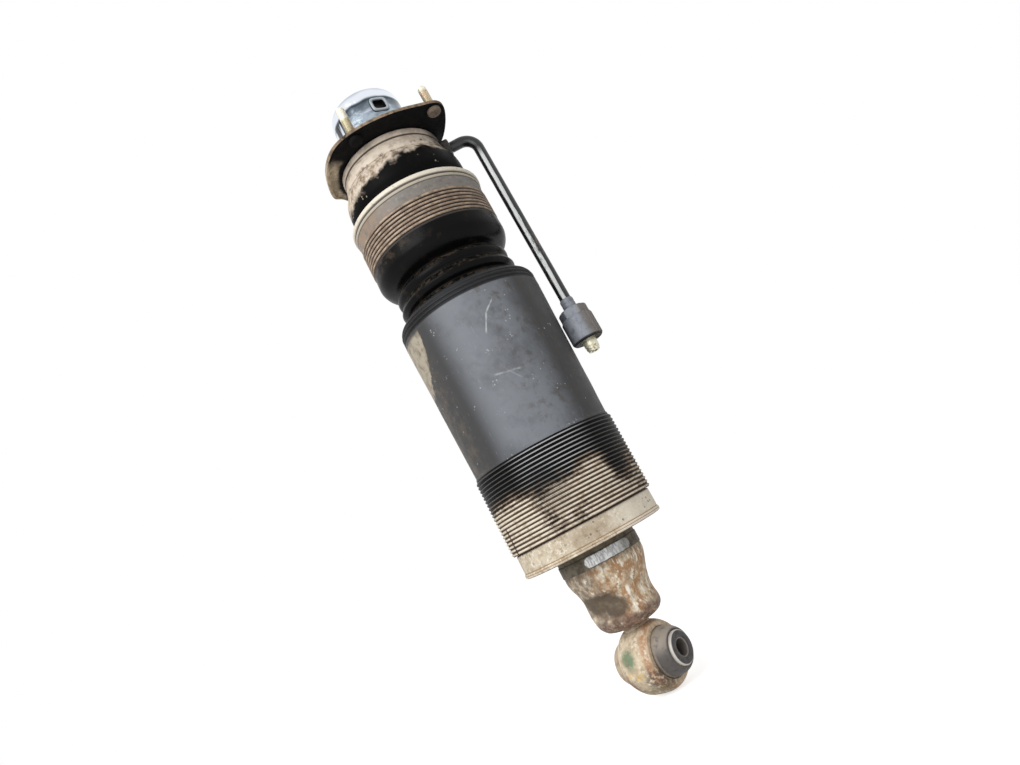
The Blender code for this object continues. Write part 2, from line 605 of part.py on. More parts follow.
def lower_casting(finishes, axis, clocked):
    """The casting on the tube's foot, its spring seat and pad, and the bright band round it."""
    top = CASTING_TOP
    waist = [(33.6, -424.5), (29.4, -436), (27, -446), (27.6, -455), (28, -459), (25.6, -464.6), (20, -468)]
    outer = [(CASTING_R - 1, top), (CASTING_R, top - 1), (CASTING_R, -420), *waist, (NECK_R + 1.7, CASTING_LOW)]
    bore = TUBE_R + GAP
    tube_bore = [(0, TUBE_LOW - GAP), (bore, TUBE_LOW - GAP), (bore, top)]
    roof = TUBE_LOW - 5.6
    neck_bore = [(NECK_R + 0.4, CASTING_LOW), (NECK_R + 0.4, roof), (0, roof)]
    casting = turned("lower_casting", tube_bore + outer + neck_bore, finishes["rusty_casting"],
                     OUTSIDE_STEPS, axis, closed=False)
    size = (20.0, 26.0, 21.0)
    distance, angle = CASTING_FLAT
    place = (*polar(distance + size[0] / 2, angle), -445.5)
    boolean(casting, box_cutter("casting_flat", size, place, angle, clocked))
    rim = top + 7.2
    seat = [(56, rim), (57.5, rim - 1.2), (57.5, rim - 3.6), (40, top + GAP), (bore, top + GAP),
            (bore, top + 4), (39, top + 4), (42, rim)]
    turned("lower_spring_seat", seat, finishes["painted_steel"], MIDDLE_STEPS, axis)
    ring("lower_spring_pad", 42.4, 56, rim + GAP, rim + 3.2, finishes["seal_rubber"], MIDDLE_STEPS, axis)
    inside = CASTING_R + 0.33
    outside = CASTING_R + 0.58
    band = [(inside, BAND_TOP), (outside, BAND_TOP - 0.4), (outside, BAND_LOW + 0.4), (inside, BAND_LOW)]
    turned("band_clamp", band, finishes["bright_band"], OUTSIDE_STEPS, axis)


def lower_eye(finishes, axis):
    """The forged eye with its neck, the rubber bush and the inner sleeve that takes the bolt."""
    centre = add_empty("eye_axis", (0, 0, EYE_Z), 0.0, axis)
    centre.rotation_euler = (0, math.radians(90), 0)
    half = EYE_HALF
    shares = (1.0, 0.84, 0.56, 0.19)
    barrel = [(EYE_R - EYE_BARREL * share ** 3, half * share) for share in shares]
    other = [(r, -x) for r, x in reversed(barrel)]
    profile = [*barrel, *other, (EYE_BORE_R, -half), (EYE_BORE_R, half)]
    eye = turned("lower_eye", profile, finishes["rusty_casting"], OUTSIDE_STEPS, centre)
    neck_low = EYE_Z + EYE_BORE_R + 2.5
    neck_top = TUBE_LOW - 6
    boolean(eye, bar_cutter("eye_neck", NECK_R, neck_low, neck_top, (0, 0), axis), "UNION")
    end = SLEEVE_HALF - 2.2
    lip = [(EYE_BORE_R - GAP, half + 0.6), (19.2, half + 3), (17.6, half + 9), (SLEEVE_R + 2, end - 0.2),
           (SLEEVE_R + GAP, end)]
    under = [(r, -x) for r, x in reversed(lip)]
    turned("bush_rubber", lip + under, finishes["seal_rubber"], MIDDLE_STEPS, centre)
    edge = 0.8
    outside = [(SLEEVE_R - edge, SLEEVE_HALF), (SLEEVE_R, SLEEVE_HALF - edge), (SLEEVE_R, edge - SLEEVE_HALF),
               (SLEEVE_R - edge, -SLEEVE_HALF)]
    sleeve = [*outside, (SLEEVE_BORE_R, -SLEEVE_HALF), (SLEEVE_BORE_R, SLEEVE_HALF)]
    turned("bush_sleeve", sleeve, finishes["ground_steel"], INSIDE_STEPS, centre)


def hydraulic_port(finish, clocked):
    """The block in the housing's slot that the pressure pipe starts from."""
    block = box_mesh("hydraulic_port", PORT_SIZE)
    shape = bmesh.new()
    shape.from_mesh(block)
    bmesh.ops.bevel(shape, geom=shape.edges[:], offset=1.5 * MM, segments=1, affect="EDGES")
    shape.to_mesh(block)
    shape.free()
    port = add_object("hydraulic_port", block, finish, clocked)
    port.location = Vector((PORT_X, 0, PIPE_Z + 0.6)) * MM


def pressure_line(finishes, clocked):
    """The pipe that runs down beside the cover, with its nipple, its ferrule and its union nut."""
    bend = [polar(PIPE_BEND_R, angle) for angle in (90, 72, 54, 36, 18, 0)]
    corner = (PIPE_X - PIPE_BEND_R, PIPE_Z - PIPE_BEND_R)
    arc = [(corner[0] + x, 0, corner[1] + z) for x, z in bend]
    route = [(PIPE_START, 0, PIPE_Z), *arc, (PIPE_X, 0, PIPE_LOW)]
    wire("pressure_pipe", route, PIPE_R, 3, finishes["pipe_steel"], clocked)
    foot = add_empty("pipe_axis", (PIPE_X, 0, 0), 0.0, clocked)
    top = PIPE_LOW - GAP
    nipple = [(0, top), (9.6, top), (9.6, top - 3), (6.4, top - 6), (6.4, NIPPLE_LOW + 3.5), (5, NIPPLE_LOW),
              (3, NIPPLE_LOW), (3, NIPPLE_LOW + 8.5), (0, NIPPLE_LOW + 8.5)]
    turned("pipe_nipple", nipple, finishes["nipple_zinc"], INSIDE_STEPS, foot, closed=False)
    bore = PIPE_R + GAP
    low = NUT_TOP + 0.6
    ferrule = [(FERRULE_R - 0.4, FERRULE_TOP), (FERRULE_R, FERRULE_TOP - 1), (FERRULE_R, low), (bore, low),
               (bore, FERRULE_TOP)]
    turned("pipe_ferrule", ferrule, finishes["grey_nut"], INSIDE_STEPS, foot)
    inside = PIPE_R + 0.5
    seat = PIPE_LOW + 1.5
    nut_bore = 10.6
    profile = [(10, NUT_TOP), (10, NUT_SHOULDER + 1), (NUT_R - 0.9, NUT_SHOULDER), (NUT_R, NUT_SHOULDER - 1.5),
               (NUT_R, NUT_LOW + 2), (NUT_R - 1.5, NUT_LOW), (nut_bore, NUT_LOW), (nut_bore, seat),
               (inside, seat), (inside, NUT_TOP)]
    nut = turned("union_nut", profile, finishes["grey_nut"], INSIDE_STEPS, foot)
    low = NUT_SHOULDER - 0.7
    collar = hex_nut("union_collar", PIPE_R + 0.8, NUT_COLLAR_R, low, NUT_TOP - 0.5, None, foot, True)
    boolean(nut, collar, "UNION")


def main():
    """Builds the strut at rest: fully extended, plunger drawn in."""
    start()
    finishes = make_materials()
    axis = add_empty("strut_axis")
    clocked = add_empty("mount_clock", (0, 0, 0), CLOCK, axis)
    mounting_plate(finishes["painted_steel"], clocked)
    mounting_studs(finishes["zinc_stud"], clocked)
    bright_cap(finishes["bright_cap"], finishes["socket_plastic"], clocked)
    upper_housing(finishes, axis, clocked)
    plunger_housing(finishes, axis)
    folding_bellows(finishes["black_rubber"], axis)
    plunger(finishes, axis)
    dust_cover(finishes, axis)
    damper_rod(finishes, axis)
    damper_tube(finishes, axis)
    coil_spring(finishes["spring_paint"], axis)
    lower_casting(finishes, axis, clocked)
    lower_eye(finishes, axis)
    hydraulic_port(finishes["painted_steel"], clocked)
    pressure_line(finishes, clocked)


if __name__ == "__main__":
    main()
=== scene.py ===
"""Looks of a used rear suspension strut: worn metal, dusty rubber, a polished cap and a rusty lower eye.

Every new piece is a numpy surface in millimetres, turned about the strut's axis or carried along a path.
Every finish is worked out from Object coordinates. Azimuths are degrees about +Z, from +X.
"""

import json
import math

import bmesh
import bpy
import numpy as np
from bpy.props import FloatProperty, FloatVectorProperty, PointerProperty
from mathutils import Matrix, Vector


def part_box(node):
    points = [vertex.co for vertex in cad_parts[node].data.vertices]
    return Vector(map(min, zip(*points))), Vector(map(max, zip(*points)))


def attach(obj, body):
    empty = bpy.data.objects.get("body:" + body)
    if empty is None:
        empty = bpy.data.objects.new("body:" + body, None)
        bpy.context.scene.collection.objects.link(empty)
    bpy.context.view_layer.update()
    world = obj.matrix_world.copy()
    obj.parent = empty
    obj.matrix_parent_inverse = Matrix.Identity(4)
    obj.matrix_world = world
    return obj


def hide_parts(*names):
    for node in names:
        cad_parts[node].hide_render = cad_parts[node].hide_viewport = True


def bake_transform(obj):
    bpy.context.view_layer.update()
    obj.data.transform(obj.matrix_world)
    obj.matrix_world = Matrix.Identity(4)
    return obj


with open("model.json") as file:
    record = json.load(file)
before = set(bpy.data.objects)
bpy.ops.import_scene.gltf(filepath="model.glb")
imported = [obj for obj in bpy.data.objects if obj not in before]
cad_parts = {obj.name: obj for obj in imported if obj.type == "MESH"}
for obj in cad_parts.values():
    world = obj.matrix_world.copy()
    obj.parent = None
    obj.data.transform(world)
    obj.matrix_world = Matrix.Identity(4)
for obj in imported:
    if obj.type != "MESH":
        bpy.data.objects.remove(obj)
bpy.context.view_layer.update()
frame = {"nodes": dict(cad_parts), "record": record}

bl_info = {
    "name": "Rear strut looks",
    "version": (1, 0, 0),
    "blender": (4, 5, 0),
    "location": "View3D > Sidebar > Strut",
    "description": "Builds the worn surfaces and finishes of a rear suspension strut on its CAD frame",
    "category": "Object",
}

MM = 0.001
WELD = 1e-7                    # points of a mesh that are closer than this become one, in metres
SHARP_ANGLE = math.radians(42)
CLOCK = 40.0                   # azimuth of the hydraulic side
SOCKET_AZIMUTH = CLOCK - 62
SOCKET_Z = 38.0
PIPE_X = 80.6                  # from the strut's axis to the pipe's
CASTING_R = 35.0

# The photograph's camera: its width and focal length in pixels, its place in metres and its two directions
PHOTO_WIDTH = 1020
PHOTO_FOCAL = 677.5
CAMERA_AT = (0.37346, -0.44507, -0.3742)
CAMERA_RIGHT = (0.61274, 0.64274, -0.45983)
CAMERA_DOWN = (-0.48355, -0.1553, -0.86143)

# Plan view of the mounting plate, in millimetres, with the hydraulic side at +X
PLATE_OUTLINE = [
    (51, 9), (61, -12), (66, -37), (62, -51), (46, -59), (22, -67.5),
    (-4, -70.5), (-26, -67.5), (-43, -58), (-54, -42), (-61, -20), (-63.5, 2),
    (-56, 17), (-44, 46), (-30, 68), (-14, 70), (2, 58), (28, 43)]
STUDS = {"mount_stud_1": (55.8, -45.1), "mount_stud_2": (-17.6, -60.5), "mount_stud_3": (-20.7, 58.4)}


def top(node):
    """The height of a CAD node's top, in millimetres."""
    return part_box(node)[1].z / MM


def low(node):
    """The height of a CAD node's foot, in millimetres."""
    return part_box(node)[0].z / MM


def reach(node):
    """How far a CAD node comes out along +X, in millimetres."""
    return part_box(node)[1].x / MM


EYE_Z = (top("bush_sleeve") + low("bush_sleeve")) / 2


def shade(red, green, blue):
    """A colour written as display bytes, turned into linear light."""
    share = np.array([red, green, blue]) / 255
    linear = np.where(share <= 0.04045, share / 12.92, ((share + 0.055) / 1.055) ** 2.4)
    return tuple(float(v) for v in linear)


def length(name, text, default):
    """A length of the panel, its default in millimetres."""
    return FloatProperty(name=name, description=text, default=default * MM, unit="LENGTH", precision=5)


def tint(name, text, *display):
    """A colour of the panel, its default in display bytes."""
    return FloatVectorProperty(name=name, description=text, default=shade(*display), subtype="COLOR",
                               size=3, min=0.0, max=1.0)


class StrutSizes(bpy.types.PropertyGroup):
    """Sizes that shape the strut's worn pieces."""

    plate_edge: length("Plate edge", "Rounding of the mounting plate's rim", 1.2)
    skirt_depth: length("Skirt depth", "How far the plate's folded edge hangs down", 6.5)
    thread_pitch: length("Thread pitch", "Pitch of the stud threads", 1.25)
    thread_depth: length("Thread depth", "Depth of the stud threads", 0.55)
    cap_crown: length("Cap crown", "Rounding of the polished cap's top edge", 9.0)
    socket_wall: length("Socket wall", "Width of the raised frame round the socket", 2.5)
    sleeve_rib: length("Sleeve rib depth", "Depth of the grooves on the fixed sleeve", 1.5)
    fold_wall: length("Bellows wall", "Thickness of the bellows", 2.0)
    ridge: length("Cover ridge", "Height of the ridges at the cover's top", 0.8)
    gaiter_rib: length("Gaiter rib depth", "Depth of the gaiter's grooves", 1.2)
    scoop: length("Casting scoop", "Depth of the hollow in the casting's front", 3.4)
    cast_lumps: length("Cast lumps", "Unevenness of the cast surfaces", 0.45)
    flute: length("Nut flute", "Depth of the flutes on the union nut", 1.3)


class StrutColours(bpy.types.PropertyGroup):
    """Base colours of the strut's finishes."""

    black: tint("Black rubber", "Rubber where it is clean", 11, 11, 11)
    tan_dust: tint("Tan dust", "Pale brown dust on the housing and the boot", 222, 208, 190)
    earth: tint("Earth", "Dark dirt in the studs' threads", 74, 58, 46)
    paint: tint("Paint", "Black paint of the mounting plate", 18, 18, 19)
    zinc: tint("Pale zinc", "Plating of the studs", 196, 188, 156)
    copper: tint("Copper stain", "Pinkish stain on the studs", 206, 184, 160)
    chrome: tint("Chrome", "Polished cap", 186, 195, 206)
    socket: tint("Socket", "Frame of the sensor socket", 176, 184, 192)
    rim: tint("Pale rim", "Cream rim of the fixed sleeve", 226, 217, 200)
    grey_band: tint("Grey band", "Smooth band of the fixed sleeve", 120, 114, 108)
    cover: tint("Cover", "Charcoal plastic of the dust cover", 62, 62, 63)
    # A painted sheen: the pale colour laid on the cover's side towards azimuth -46
    cover_sheen: tint("Pale cover", "Where the cover is rubbed paler", 126, 130, 136)
    ring: tint("End ring", "Pale dirty end ring", 212, 199, 177)
    ring_brown: tint("Ring stain", "Brown mottling of the end ring", 158, 138, 114)
    rust: tint("Rust", "Brown rust on the casting", 164, 116, 68)
    # Rust darkened with painted shade, for the casting's front hollow
    rust_and_shade: tint("Dark rust", "Brown rust in hollows", 82, 69, 54)
    silver: tint("Bare band", "Bright scratched band round the casting", 224, 225, 224)
    eye: tint("Eye", "Cream dust on the lower eye", 222, 204, 176)
    algae: tint("Green smudge", "Green smudge on the eye", 84, 128, 92)
    ochre: tint("Ochre spot", "Yellow spot on the eye", 226, 184, 66)
    bush: tint("Bush rubber", "Dusty rubber of the bush", 84, 80, 77)
    steel: tint("Steel", "Bare ground steel", 176, 178, 180)
    pipe: tint("Pipe", "Black coat of the pressure pipe", 26, 27, 29)
    nut: tint("Union nut", "Grey phosphate of the union nut", 146, 150, 158)
    nipple: tint("Nipple", "Pale plating of the nipple", 238, 234, 208)
    spring: tint("Spring", "Powder coat of the coil spring", 40, 46, 66)


def rounded(points, radius, steps=5, closed=False):
    """A polyline with round corners: (1-t)^2 A + 2t(1-t) P + t^2 B at corner P, A and B on its sides."""
    line = np.asarray(points, float)
    if closed:
        line = np.concatenate([line[-1:], line, line[:1]])
    corner = line[1:-1]
    before = line[:-2] - corner
    after = line[2:] - corner
    before_length = np.linalg.norm(before, axis=1, keepdims=True)
    after_length = np.linalg.norm(after, axis=1, keepdims=True)
    start = corner + before / before_length * np.minimum(radius, 0.45 * before_length)
    end = corner + after / after_length * np.minimum(radius, 0.45 * after_length)
    t = np.linspace(0, 1, steps)[None, :, None]
    bends = (1 - t) ** 2 * start[:, None] + 2 * t * (1 - t) * corner[:, None] + t ** 2 * end[:, None]
    bends = bends.reshape(-1, 2)
    return bends if closed else np.concatenate([line[:1], bends, line[-1:]])


def spaced(line, step, closed=False):
    """The same polyline with points added, so that no side is longer than step."""
    if closed:
        line = np.concatenate([line, line[:1]])
    sides = np.linalg.norm(np.diff(line, axis=0), axis=1)
    counts = np.maximum(np.ceil(sides / step).astype(int), 1)
    along = np.concatenate([[0], np.cumsum(sides)])
    first = np.repeat(np.cumsum(counts) - counts, counts)
    share = (np.arange(counts.sum()) - first) / np.repeat(counts, counts)
    stops = np.repeat(along[:-1], counts) + share * np.repeat(sides, counts)
    if not closed:
        stops = np.append(stops, along[-1])
    return np.stack([np.interp(stops, along, line[:, k]) for k in range(line.shape[1])], 1)


def smooth_curve(points, count, closed):
    """A Catmull-Rom curve through points, sampled evenly in the point number."""
    line = np.asarray(points, float)
    total = len(line)
    place = np.linspace(0, total if closed else total - 1, count, endpoint=not closed)
    first = np.minimum(np.floor(place).astype(int), total - 1 if closed else total - 2)
    t = (place - first)[:, None]
    near = [first + k for k in (-1, 0, 1, 2)]
    picks = [line[i % total] if closed else line[np.clip(i, 0, total - 1)] for i in near]
    a, b, c, d = picks
    square = (2 * a - 5 * b + 4 * c - d) * t ** 2
    cube = (3 * b - a - 3 * c + d) * t ** 3
    return 0.5 * (2 * b + (c - a) * t + square + cube)


def polar(radius, degrees):
    """A plan point at a radius and an azimuth."""
    return radius * math.cos(math.radians(degrees)), radius * math.sin(math.radians(degrees))


def turned(profile, steps, offset=None):
    """Surface (r cos a, r sin a, z): a profile of (r, z) turned about Z, offset(a, r, z) added to r."""
    angle = np.linspace(0, 2 * np.pi, steps, endpoint=False)[None, :]
    r = np.repeat(profile[:, :1], steps, axis=1)
    z = np.repeat(profile[:, 1:], steps, axis=1)
    if offset is not None:
        r = r + np.where(r > 1e-6, offset(angle, r, z), 0)
    return np.stack([r * np.cos(angle), r * np.sin(angle), z], axis=-1)


def to_eye(points):
    """Lays a turned piece along the eye's bolt axis: its Z becomes X, at the eye's height."""
    return np.stack([points[..., 2], points[..., 1], EYE_Z - points[..., 0]], axis=-1)


def moved(points, x, y, z=0.0):
    """The points carried to another place."""
    return points + np.array([x, y, z])


def lumps(amount, seed):
    """An unevenness f(a, r, z): a sum of five waves in azimuth and height with fixed phases."""
    def offset(angle, r, z):
        total = 0
        for wave in range(1, 6):
            phase = 1.7 * seed + 2.4 * wave
            total = total + np.sin((wave + 1) * angle + z * 0.055 * wave + phase) / (wave + 1)
        return amount * total
    return offset


def turn_from(angle, azimuth):
    """The signed angle in degrees from an azimuth, between -180 and 180."""
    return (np.degrees(angle) - azimuth + 180) % 360 - 180


def bell(value, width):
    """A smooth bump of height 1 at 0 that is down to a third at width."""
    return np.exp(-(value / width) ** 2)


def surface(name, points, finish, closed_rows):
    """A mesh object from a grid of points in millimetres. Columns always close; rows close on request.

    Poles and seams are welded and the faces turned outwards, so each piece is one closed shell."""
    rows, columns = points.shape[:2]
    index = np.arange(rows * columns).reshape(rows, columns)
    index = np.concatenate([index, index[:, :1]], axis=1)
    if closed_rows:
        index = np.concatenate([index, index[:1]], axis=0)
    corners = [index[:-1, :-1], index[:-1, 1:], index[1:, 1:], index[1:, :-1]]
    quads = np.stack(corners, axis=-1).reshape(-1, 4)
    mesh = bpy.data.meshes.new(name)
    mesh.from_pydata((points * MM).reshape(-1, 3), [], quads)
    shape = bmesh.new()
    shape.from_mesh(mesh)
    bmesh.ops.remove_doubles(shape, verts=shape.verts, dist=WELD)
    bmesh.ops.dissolve_degenerate(shape, edges=shape.edges, dist=0.1 * WELD)
    bmesh.ops.recalc_face_normals(shape, faces=shape.faces)
    shape.to_mesh(mesh)
    shape.free()
    mesh.shade_smooth()
    mesh.set_sharp_from_angle(angle=SHARP_ANGLE)
    mesh.materials.append(finish)
    piece = bpy.data.objects.new(name, mesh)
    bpy.context.scene.collection.objects.link(piece)
    return piece


def settle(piece, body, node):
    """Puts a piece on its body in place of its CAD node."""
    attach(piece, body)
    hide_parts(node)


def combine(piece, tool, operation):
    """Cuts or joins a piece with another mesh for good, and removes the other one."""
    modifier = piece.modifiers.new(operation.lower(), "BOOLEAN")
    modifier.object = tool
    modifier.operation = operation
    modifier.solver = "EXACT"
    graph = bpy.context.evaluated_depsgraph_get()
    mesh = bpy.data.meshes.new_from_object(piece.evaluated_get(graph))
    piece.modifiers.clear()
    piece.data = mesh
    mesh.set_sharp_from_angle(angle=SHARP_ANGLE)
    bpy.data.objects.remove(tool)
    if not mesh.polygons:
        raise RuntimeError(f"{piece.name} came out empty")


def block(size, power, rounding):
    """A rounded block: super-ellipse sections of a box, drawn in near both ends. Length along X."""
    half = np.array(size) / 2
    angle = np.linspace(0, 2 * np.pi, 72, endpoint=False)[None, :]
    inset = np.array([half[1], rounding, 0.3 * rounding, 0, 0, 0.3 * rounding, rounding, half[1]])[:, None]
    ends = np.array([0, 0, 0.3 * rounding, rounding])
    x = np.concatenate([ends - half[0], half[0] - ends[::-1]])[:, None]
    cos, sin = np.cos(angle), np.sin(angle)
    across = np.sign(cos) * np.abs(cos) ** (2 / power) * (half[1] - inset)
    up = np.sign(sin) * np.abs(sin) ** (2 / power) * (half[2] - inset * half[2] / half[1])
    return np.stack([np.broadcast_to(x, across.shape), across, up], axis=-1)


def clocked(points, degrees):
    """The points turned about Z."""
    c, s = math.cos(math.radians(degrees)), math.sin(math.radians(degrees))
    x, y, z = points[..., 0], points[..., 1], points[..., 2]
    return np.stack([c * x - s * y, s * x + c * y, z], axis=-1)


def swept(path, side, radius, sides):
    """A round tube: circles square to a path, each begun from its side vector, closed at both ends."""
    ahead = np.gradient(path, axis=0)
    ahead /= np.linalg.norm(ahead, axis=1, keepdims=True)
    upward = np.cross(side, ahead)
    angle = np.linspace(0, 2 * np.pi, sides, endpoint=False)[None, :, None]
    circle = np.cos(angle) * side[:, None] + np.sin(angle) * upward[:, None]
    ends = [np.repeat(path[k:k + 1, None], sides, axis=1) for k in (0, len(path) - 1)]
    return np.concatenate([ends[0], path[:, None] + radius * circle, ends[1]])


class Finish:
    """One procedural finish, its masks worked out from Object coordinates in millimetres."""

    def __init__(self, name):
        """Starts the material with its place, height and facing."""
        self.material = bpy.data.materials.new(name)
        self.material.use_nodes = True
        self.tree = self.material.node_tree
        self.shader = self.tree.nodes["Principled BSDF"]
        coordinates = self.tree.nodes.new("ShaderNodeTexCoord")
        self.place = self.vector("SCALE", coordinates.outputs["Object"], scale=1 / MM)
        split = self.tree.nodes.new("ShaderNodeSeparateXYZ")
        self.tree.links.new(self.place, split.inputs[0])
        self.x, self.y, self.z = split.outputs
        facing = self.tree.nodes.new("ShaderNodeSeparateXYZ")
        self.tree.links.new(coordinates.outputs["Normal"], facing.inputs[0])
        self.facing_up = facing.outputs["Z"]
        self.across = self.vector("LENGTH", self.vector("MULTIPLY", self.place, (1, 1, 0)), output=1)
        self.colour = None
        self.normal = None

    def add(self, kind, sockets, output=0, **settings):
        """One node with its settings and its sockets, each a constant or another node's output."""
        node = self.tree.nodes.new(kind)
        for key, value in settings.items():
            setattr(node, key, value)
        for key, value in sockets.items():
            if isinstance(value, bpy.types.NodeSocket):
                self.tree.links.new(value, node.inputs[key])
            else:
                node.inputs[key].default_value = value
        return node.outputs[output]

    def math(self, operation, *values):
        """A Math node."""
        return self.add("ShaderNodeMath", dict(enumerate(values)), operation=operation)

    def vector(self, operation, first, second=None, scale=None, output=0):
        """A Vector Math node."""
        sockets = {0: first}
        if second is not None:
            sockets[1] = second
        if scale is not None:
            sockets["Scale"] = scale
        return self.add("ShaderNodeVectorMath", sockets, output, operation=operation)

    def ramp(self, value, start, end):
        """0 at start and 1 at end, with a smooth step between them, whichever is larger."""
        sockets = {"Value": value, "From Min": min(start, end), "From Max": max(start, end)}
        if start > end:
            sockets.update({"To Min": 1.0, "To Max": 0.0})
        return self.add("ShaderNodeMapRange", sockets, interpolation_type="SMOOTHSTEP")

    def band(self, value, start, end, soft):
        """1 between two values, falling off over soft on each side."""
        rise = self.ramp(value, start - soft, start + soft)
        fall = self.ramp(value, end + soft, end - soft)
        return self.math("MULTIPLY", rise, fall)

    def noise(self, size, detail=4.0, roughness=0.6, stretch=(1, 1, 1), shift=0.0):
        """Noise whose grains are about size millimetres, longer along the axes with a larger stretch."""
        scale = [1 / (size * s) for s in stretch]
        place = self.vector("MULTIPLY_ADD", self.place, scale)
        place.node.inputs[2].default_value = (shift, shift, shift)
        return self.add("ShaderNodeTexNoise", {"Vector": place, "Scale": 1.0, "Detail": detail,
                                               "Roughness": roughness})

    def patches(self, start, end, *grain, **more):
        """Uneven patches: 0 to 1 between two levels of the noise."""
        return self.ramp(self.noise(*grain, **more), start, end)

    def uneven(self, amount, base, *grain, **more):
        """A base with noise of a given amount added to it."""
        return self.math("MULTIPLY_ADD", self.noise(*grain, **more), amount, base)

    def specks(self, size, share, shift=0.0):
        """Small scattered dots, the more of them the larger the share."""
        place = self.vector("SCALE", self.place, scale=1 / size)
        near = self.add("ShaderNodeTexVoronoi", {"Vector": place, "Scale": 1.0, "Randomness": 1.0})
        dots = self.ramp(near, 0.30, 0.16)
        cloud = self.noise(size * 5, 2, shift=shift + 3.1)
        return self.math("MULTIPLY", dots, self.ramp(cloud, 1 - share, 1.02 - share))

    def near(self, centre, size, soft=0.5, wobble=0.5, grain=9.0):
        """A patch round a point, size millimetres each way, with an uneven edge."""
        away = self.vector("SUBTRACT", self.place, centre)
        away = self.vector("DIVIDE", away, size)
        far = self.vector("LENGTH", away, output=1)
        edge = self.uneven(2 * wobble, -wobble, grain, 5, 0.65)
        return self.ramp(self.math("ADD", far, edge), 1 + soft / 2, 1 - soft / 2)

    def along(self, place, azimuth):
        """How far a place lies out along an azimuth."""
        return self.vector("DOT_PRODUCT", place, (*polar(1, azimuth), 0), output=1)

    def toward(self, azimuth):
        """The cosine of the angle round the axis from an azimuth."""
        flat = self.vector("NORMALIZE", self.vector("MULTIPLY", self.place, (1, 1, 0)))
        return self.along(flat, azimuth)

    def side(self, azimuth, start, end):
        """One side of the strut: 0 to 1 between two cosines of the angle from an azimuth."""
        return self.ramp(self.toward(azimuth), start, end)

    def distance(self, first, second):
        """The length of two offsets that are square to each other."""
        squares = [self.math("POWER", offset, 2.0) for offset in (first, second)]
        return self.math("SQRT", self.math("ADD", *squares))

    def scratch(self, start, end, width):
        """A thin line between two points, in millimetres."""
        a, b = Vector(start), Vector(end)
        along = (b - a).normalized()
        from_start = self.vector("SUBTRACT", self.place, tuple(a))
        run = self.vector("DOT_PRODUCT", from_start, tuple(along), output=1)
        foot = self.vector("SCALE", tuple(along), scale=run)
        gap = self.vector("DISTANCE", from_start, foot, output=1)
        gap = self.uneven(1.6 * width, gap, 5, 3)
        inside = self.band(run, 0, (b - a).length, 2.0)
        return self.math("MULTIPLY", self.ramp(gap, 2.0 * width, 0.9 * width), inside)

    def both(self, *masks):
        """Where every mask is."""
        total = masks[0]
        for mask in masks[1:]:
            total = self.math("MULTIPLY", total, mask)
        return total

    def either(self, *masks):
        """Where any mask is."""
        total = masks[0]
        for mask in masks[1:]:
            total = self.math("MAXIMUM", total, mask)
        return total

    def less(self, mask, share):
        """A mask at part of its strength."""
        return self.math("MULTIPLY", mask, share)

    def over(self, under, colour, mask, share=None):
        """A colour laid over another by a mask, at part of its strength if a share is given."""
        if share is not None:
            mask = self.less(mask, share)
        pair = {}
        for key, value in ((6, under), (7, colour)):
            pair[key] = value if isinstance(value, bpy.types.NodeSocket) else (*value, 1.0)
        return self.add("ShaderNodeMix", {0: mask, **pair}, 2, data_type="RGBA")

    def lay(self, colour, mask, share=None):
        """Lays a colour over all that the finish has so far."""
        self.colour = self.over(self.colour, colour, mask, share)

    def mottled(self, colour, other, size, share=0.5, detail=6.0, stretch=(1, 1, 1), shift=0.0):
        """Two colours in uneven clouds."""
        cloud = self.noise(size, detail, 0.65, stretch, shift)
        return self.over(colour, other, self.ramp(cloud, 1 - share - 0.12, 1 - share + 0.12))

    def relief(self, height, depth):
        """Bump of a given depth in millimetres, on top of any before it."""
        sockets = {"Height": height, "Strength": 1.0, "Distance": depth * MM}
        if self.normal is not None:
            sockets["Normal"] = self.normal
        self.normal = self.add("ShaderNodeBump", sockets)

    def close(self, roughness, metallic=0.0, **constants):
        """Feeds the shader with the colour laid so far. Constants are set straight on its sockets."""
        values = {"Base Color": self.colour, "Roughness": roughness, "Metallic": metallic}
        for key, value in constants.items():
            values[key.replace("_", " ")] = value
        for key, value in values.items():
            socket = self.shader.inputs[key]
            if isinstance(value, bpy.types.NodeSocket):
                self.tree.links.new(value, socket)
            elif key == "Base Color":
                socket.default_value = (*value, 1.0)
            else:
                socket.default_value = value
        if self.normal is not None:
            self.tree.links.new(self.normal, self.shader.inputs["Normal"])
        return self.material


def plate_finish(colours):
    """Black paint, dusty brown on the rim and on the folded lobe, dark underneath."""
    f = Finish("dusty_black_paint")
    f.colour = f.mottled(colours.paint, shade(24, 21, 19), 14, 0.35)
    rim = f.both(f.ramp(f.facing_up, -0.80, -0.35), f.ramp(f.facing_up, 0.97, 0.8))
    worn = f.patches(0.28, 0.5, 7, 6, 0.7)
    dust = f.mottled(shade(166, 146, 124), shade(118, 101, 86), 5, 0.5)
    f.lay(dust, f.both(rim, worn), 0.9)
    above = f.both(f.ramp(f.facing_up, 0.7, 0.95), f.patches(0.25, 0.6, 16, 5))
    f.lay(shade(128, 114, 98), above, 0.75)
    across = f.uneven(7.0, f.across, 11, 5)
    lobe = f.both(f.side(-127, 0.80, 0.92), f.ramp(across, 56.0, 60.0), f.ramp(f.z, -1.0, -2.5))
    brown = f.mottled(shade(200, 184, 161), shade(156, 142, 122), 6, 0.5)
    f.lay(brown, lobe, 0.95)
    f.relief(f.noise(1.4, 5, 0.7), 0.12)
    return f.close(f.patches(1.1, 0.1, 10), Specular_IOR_Level=0.06)


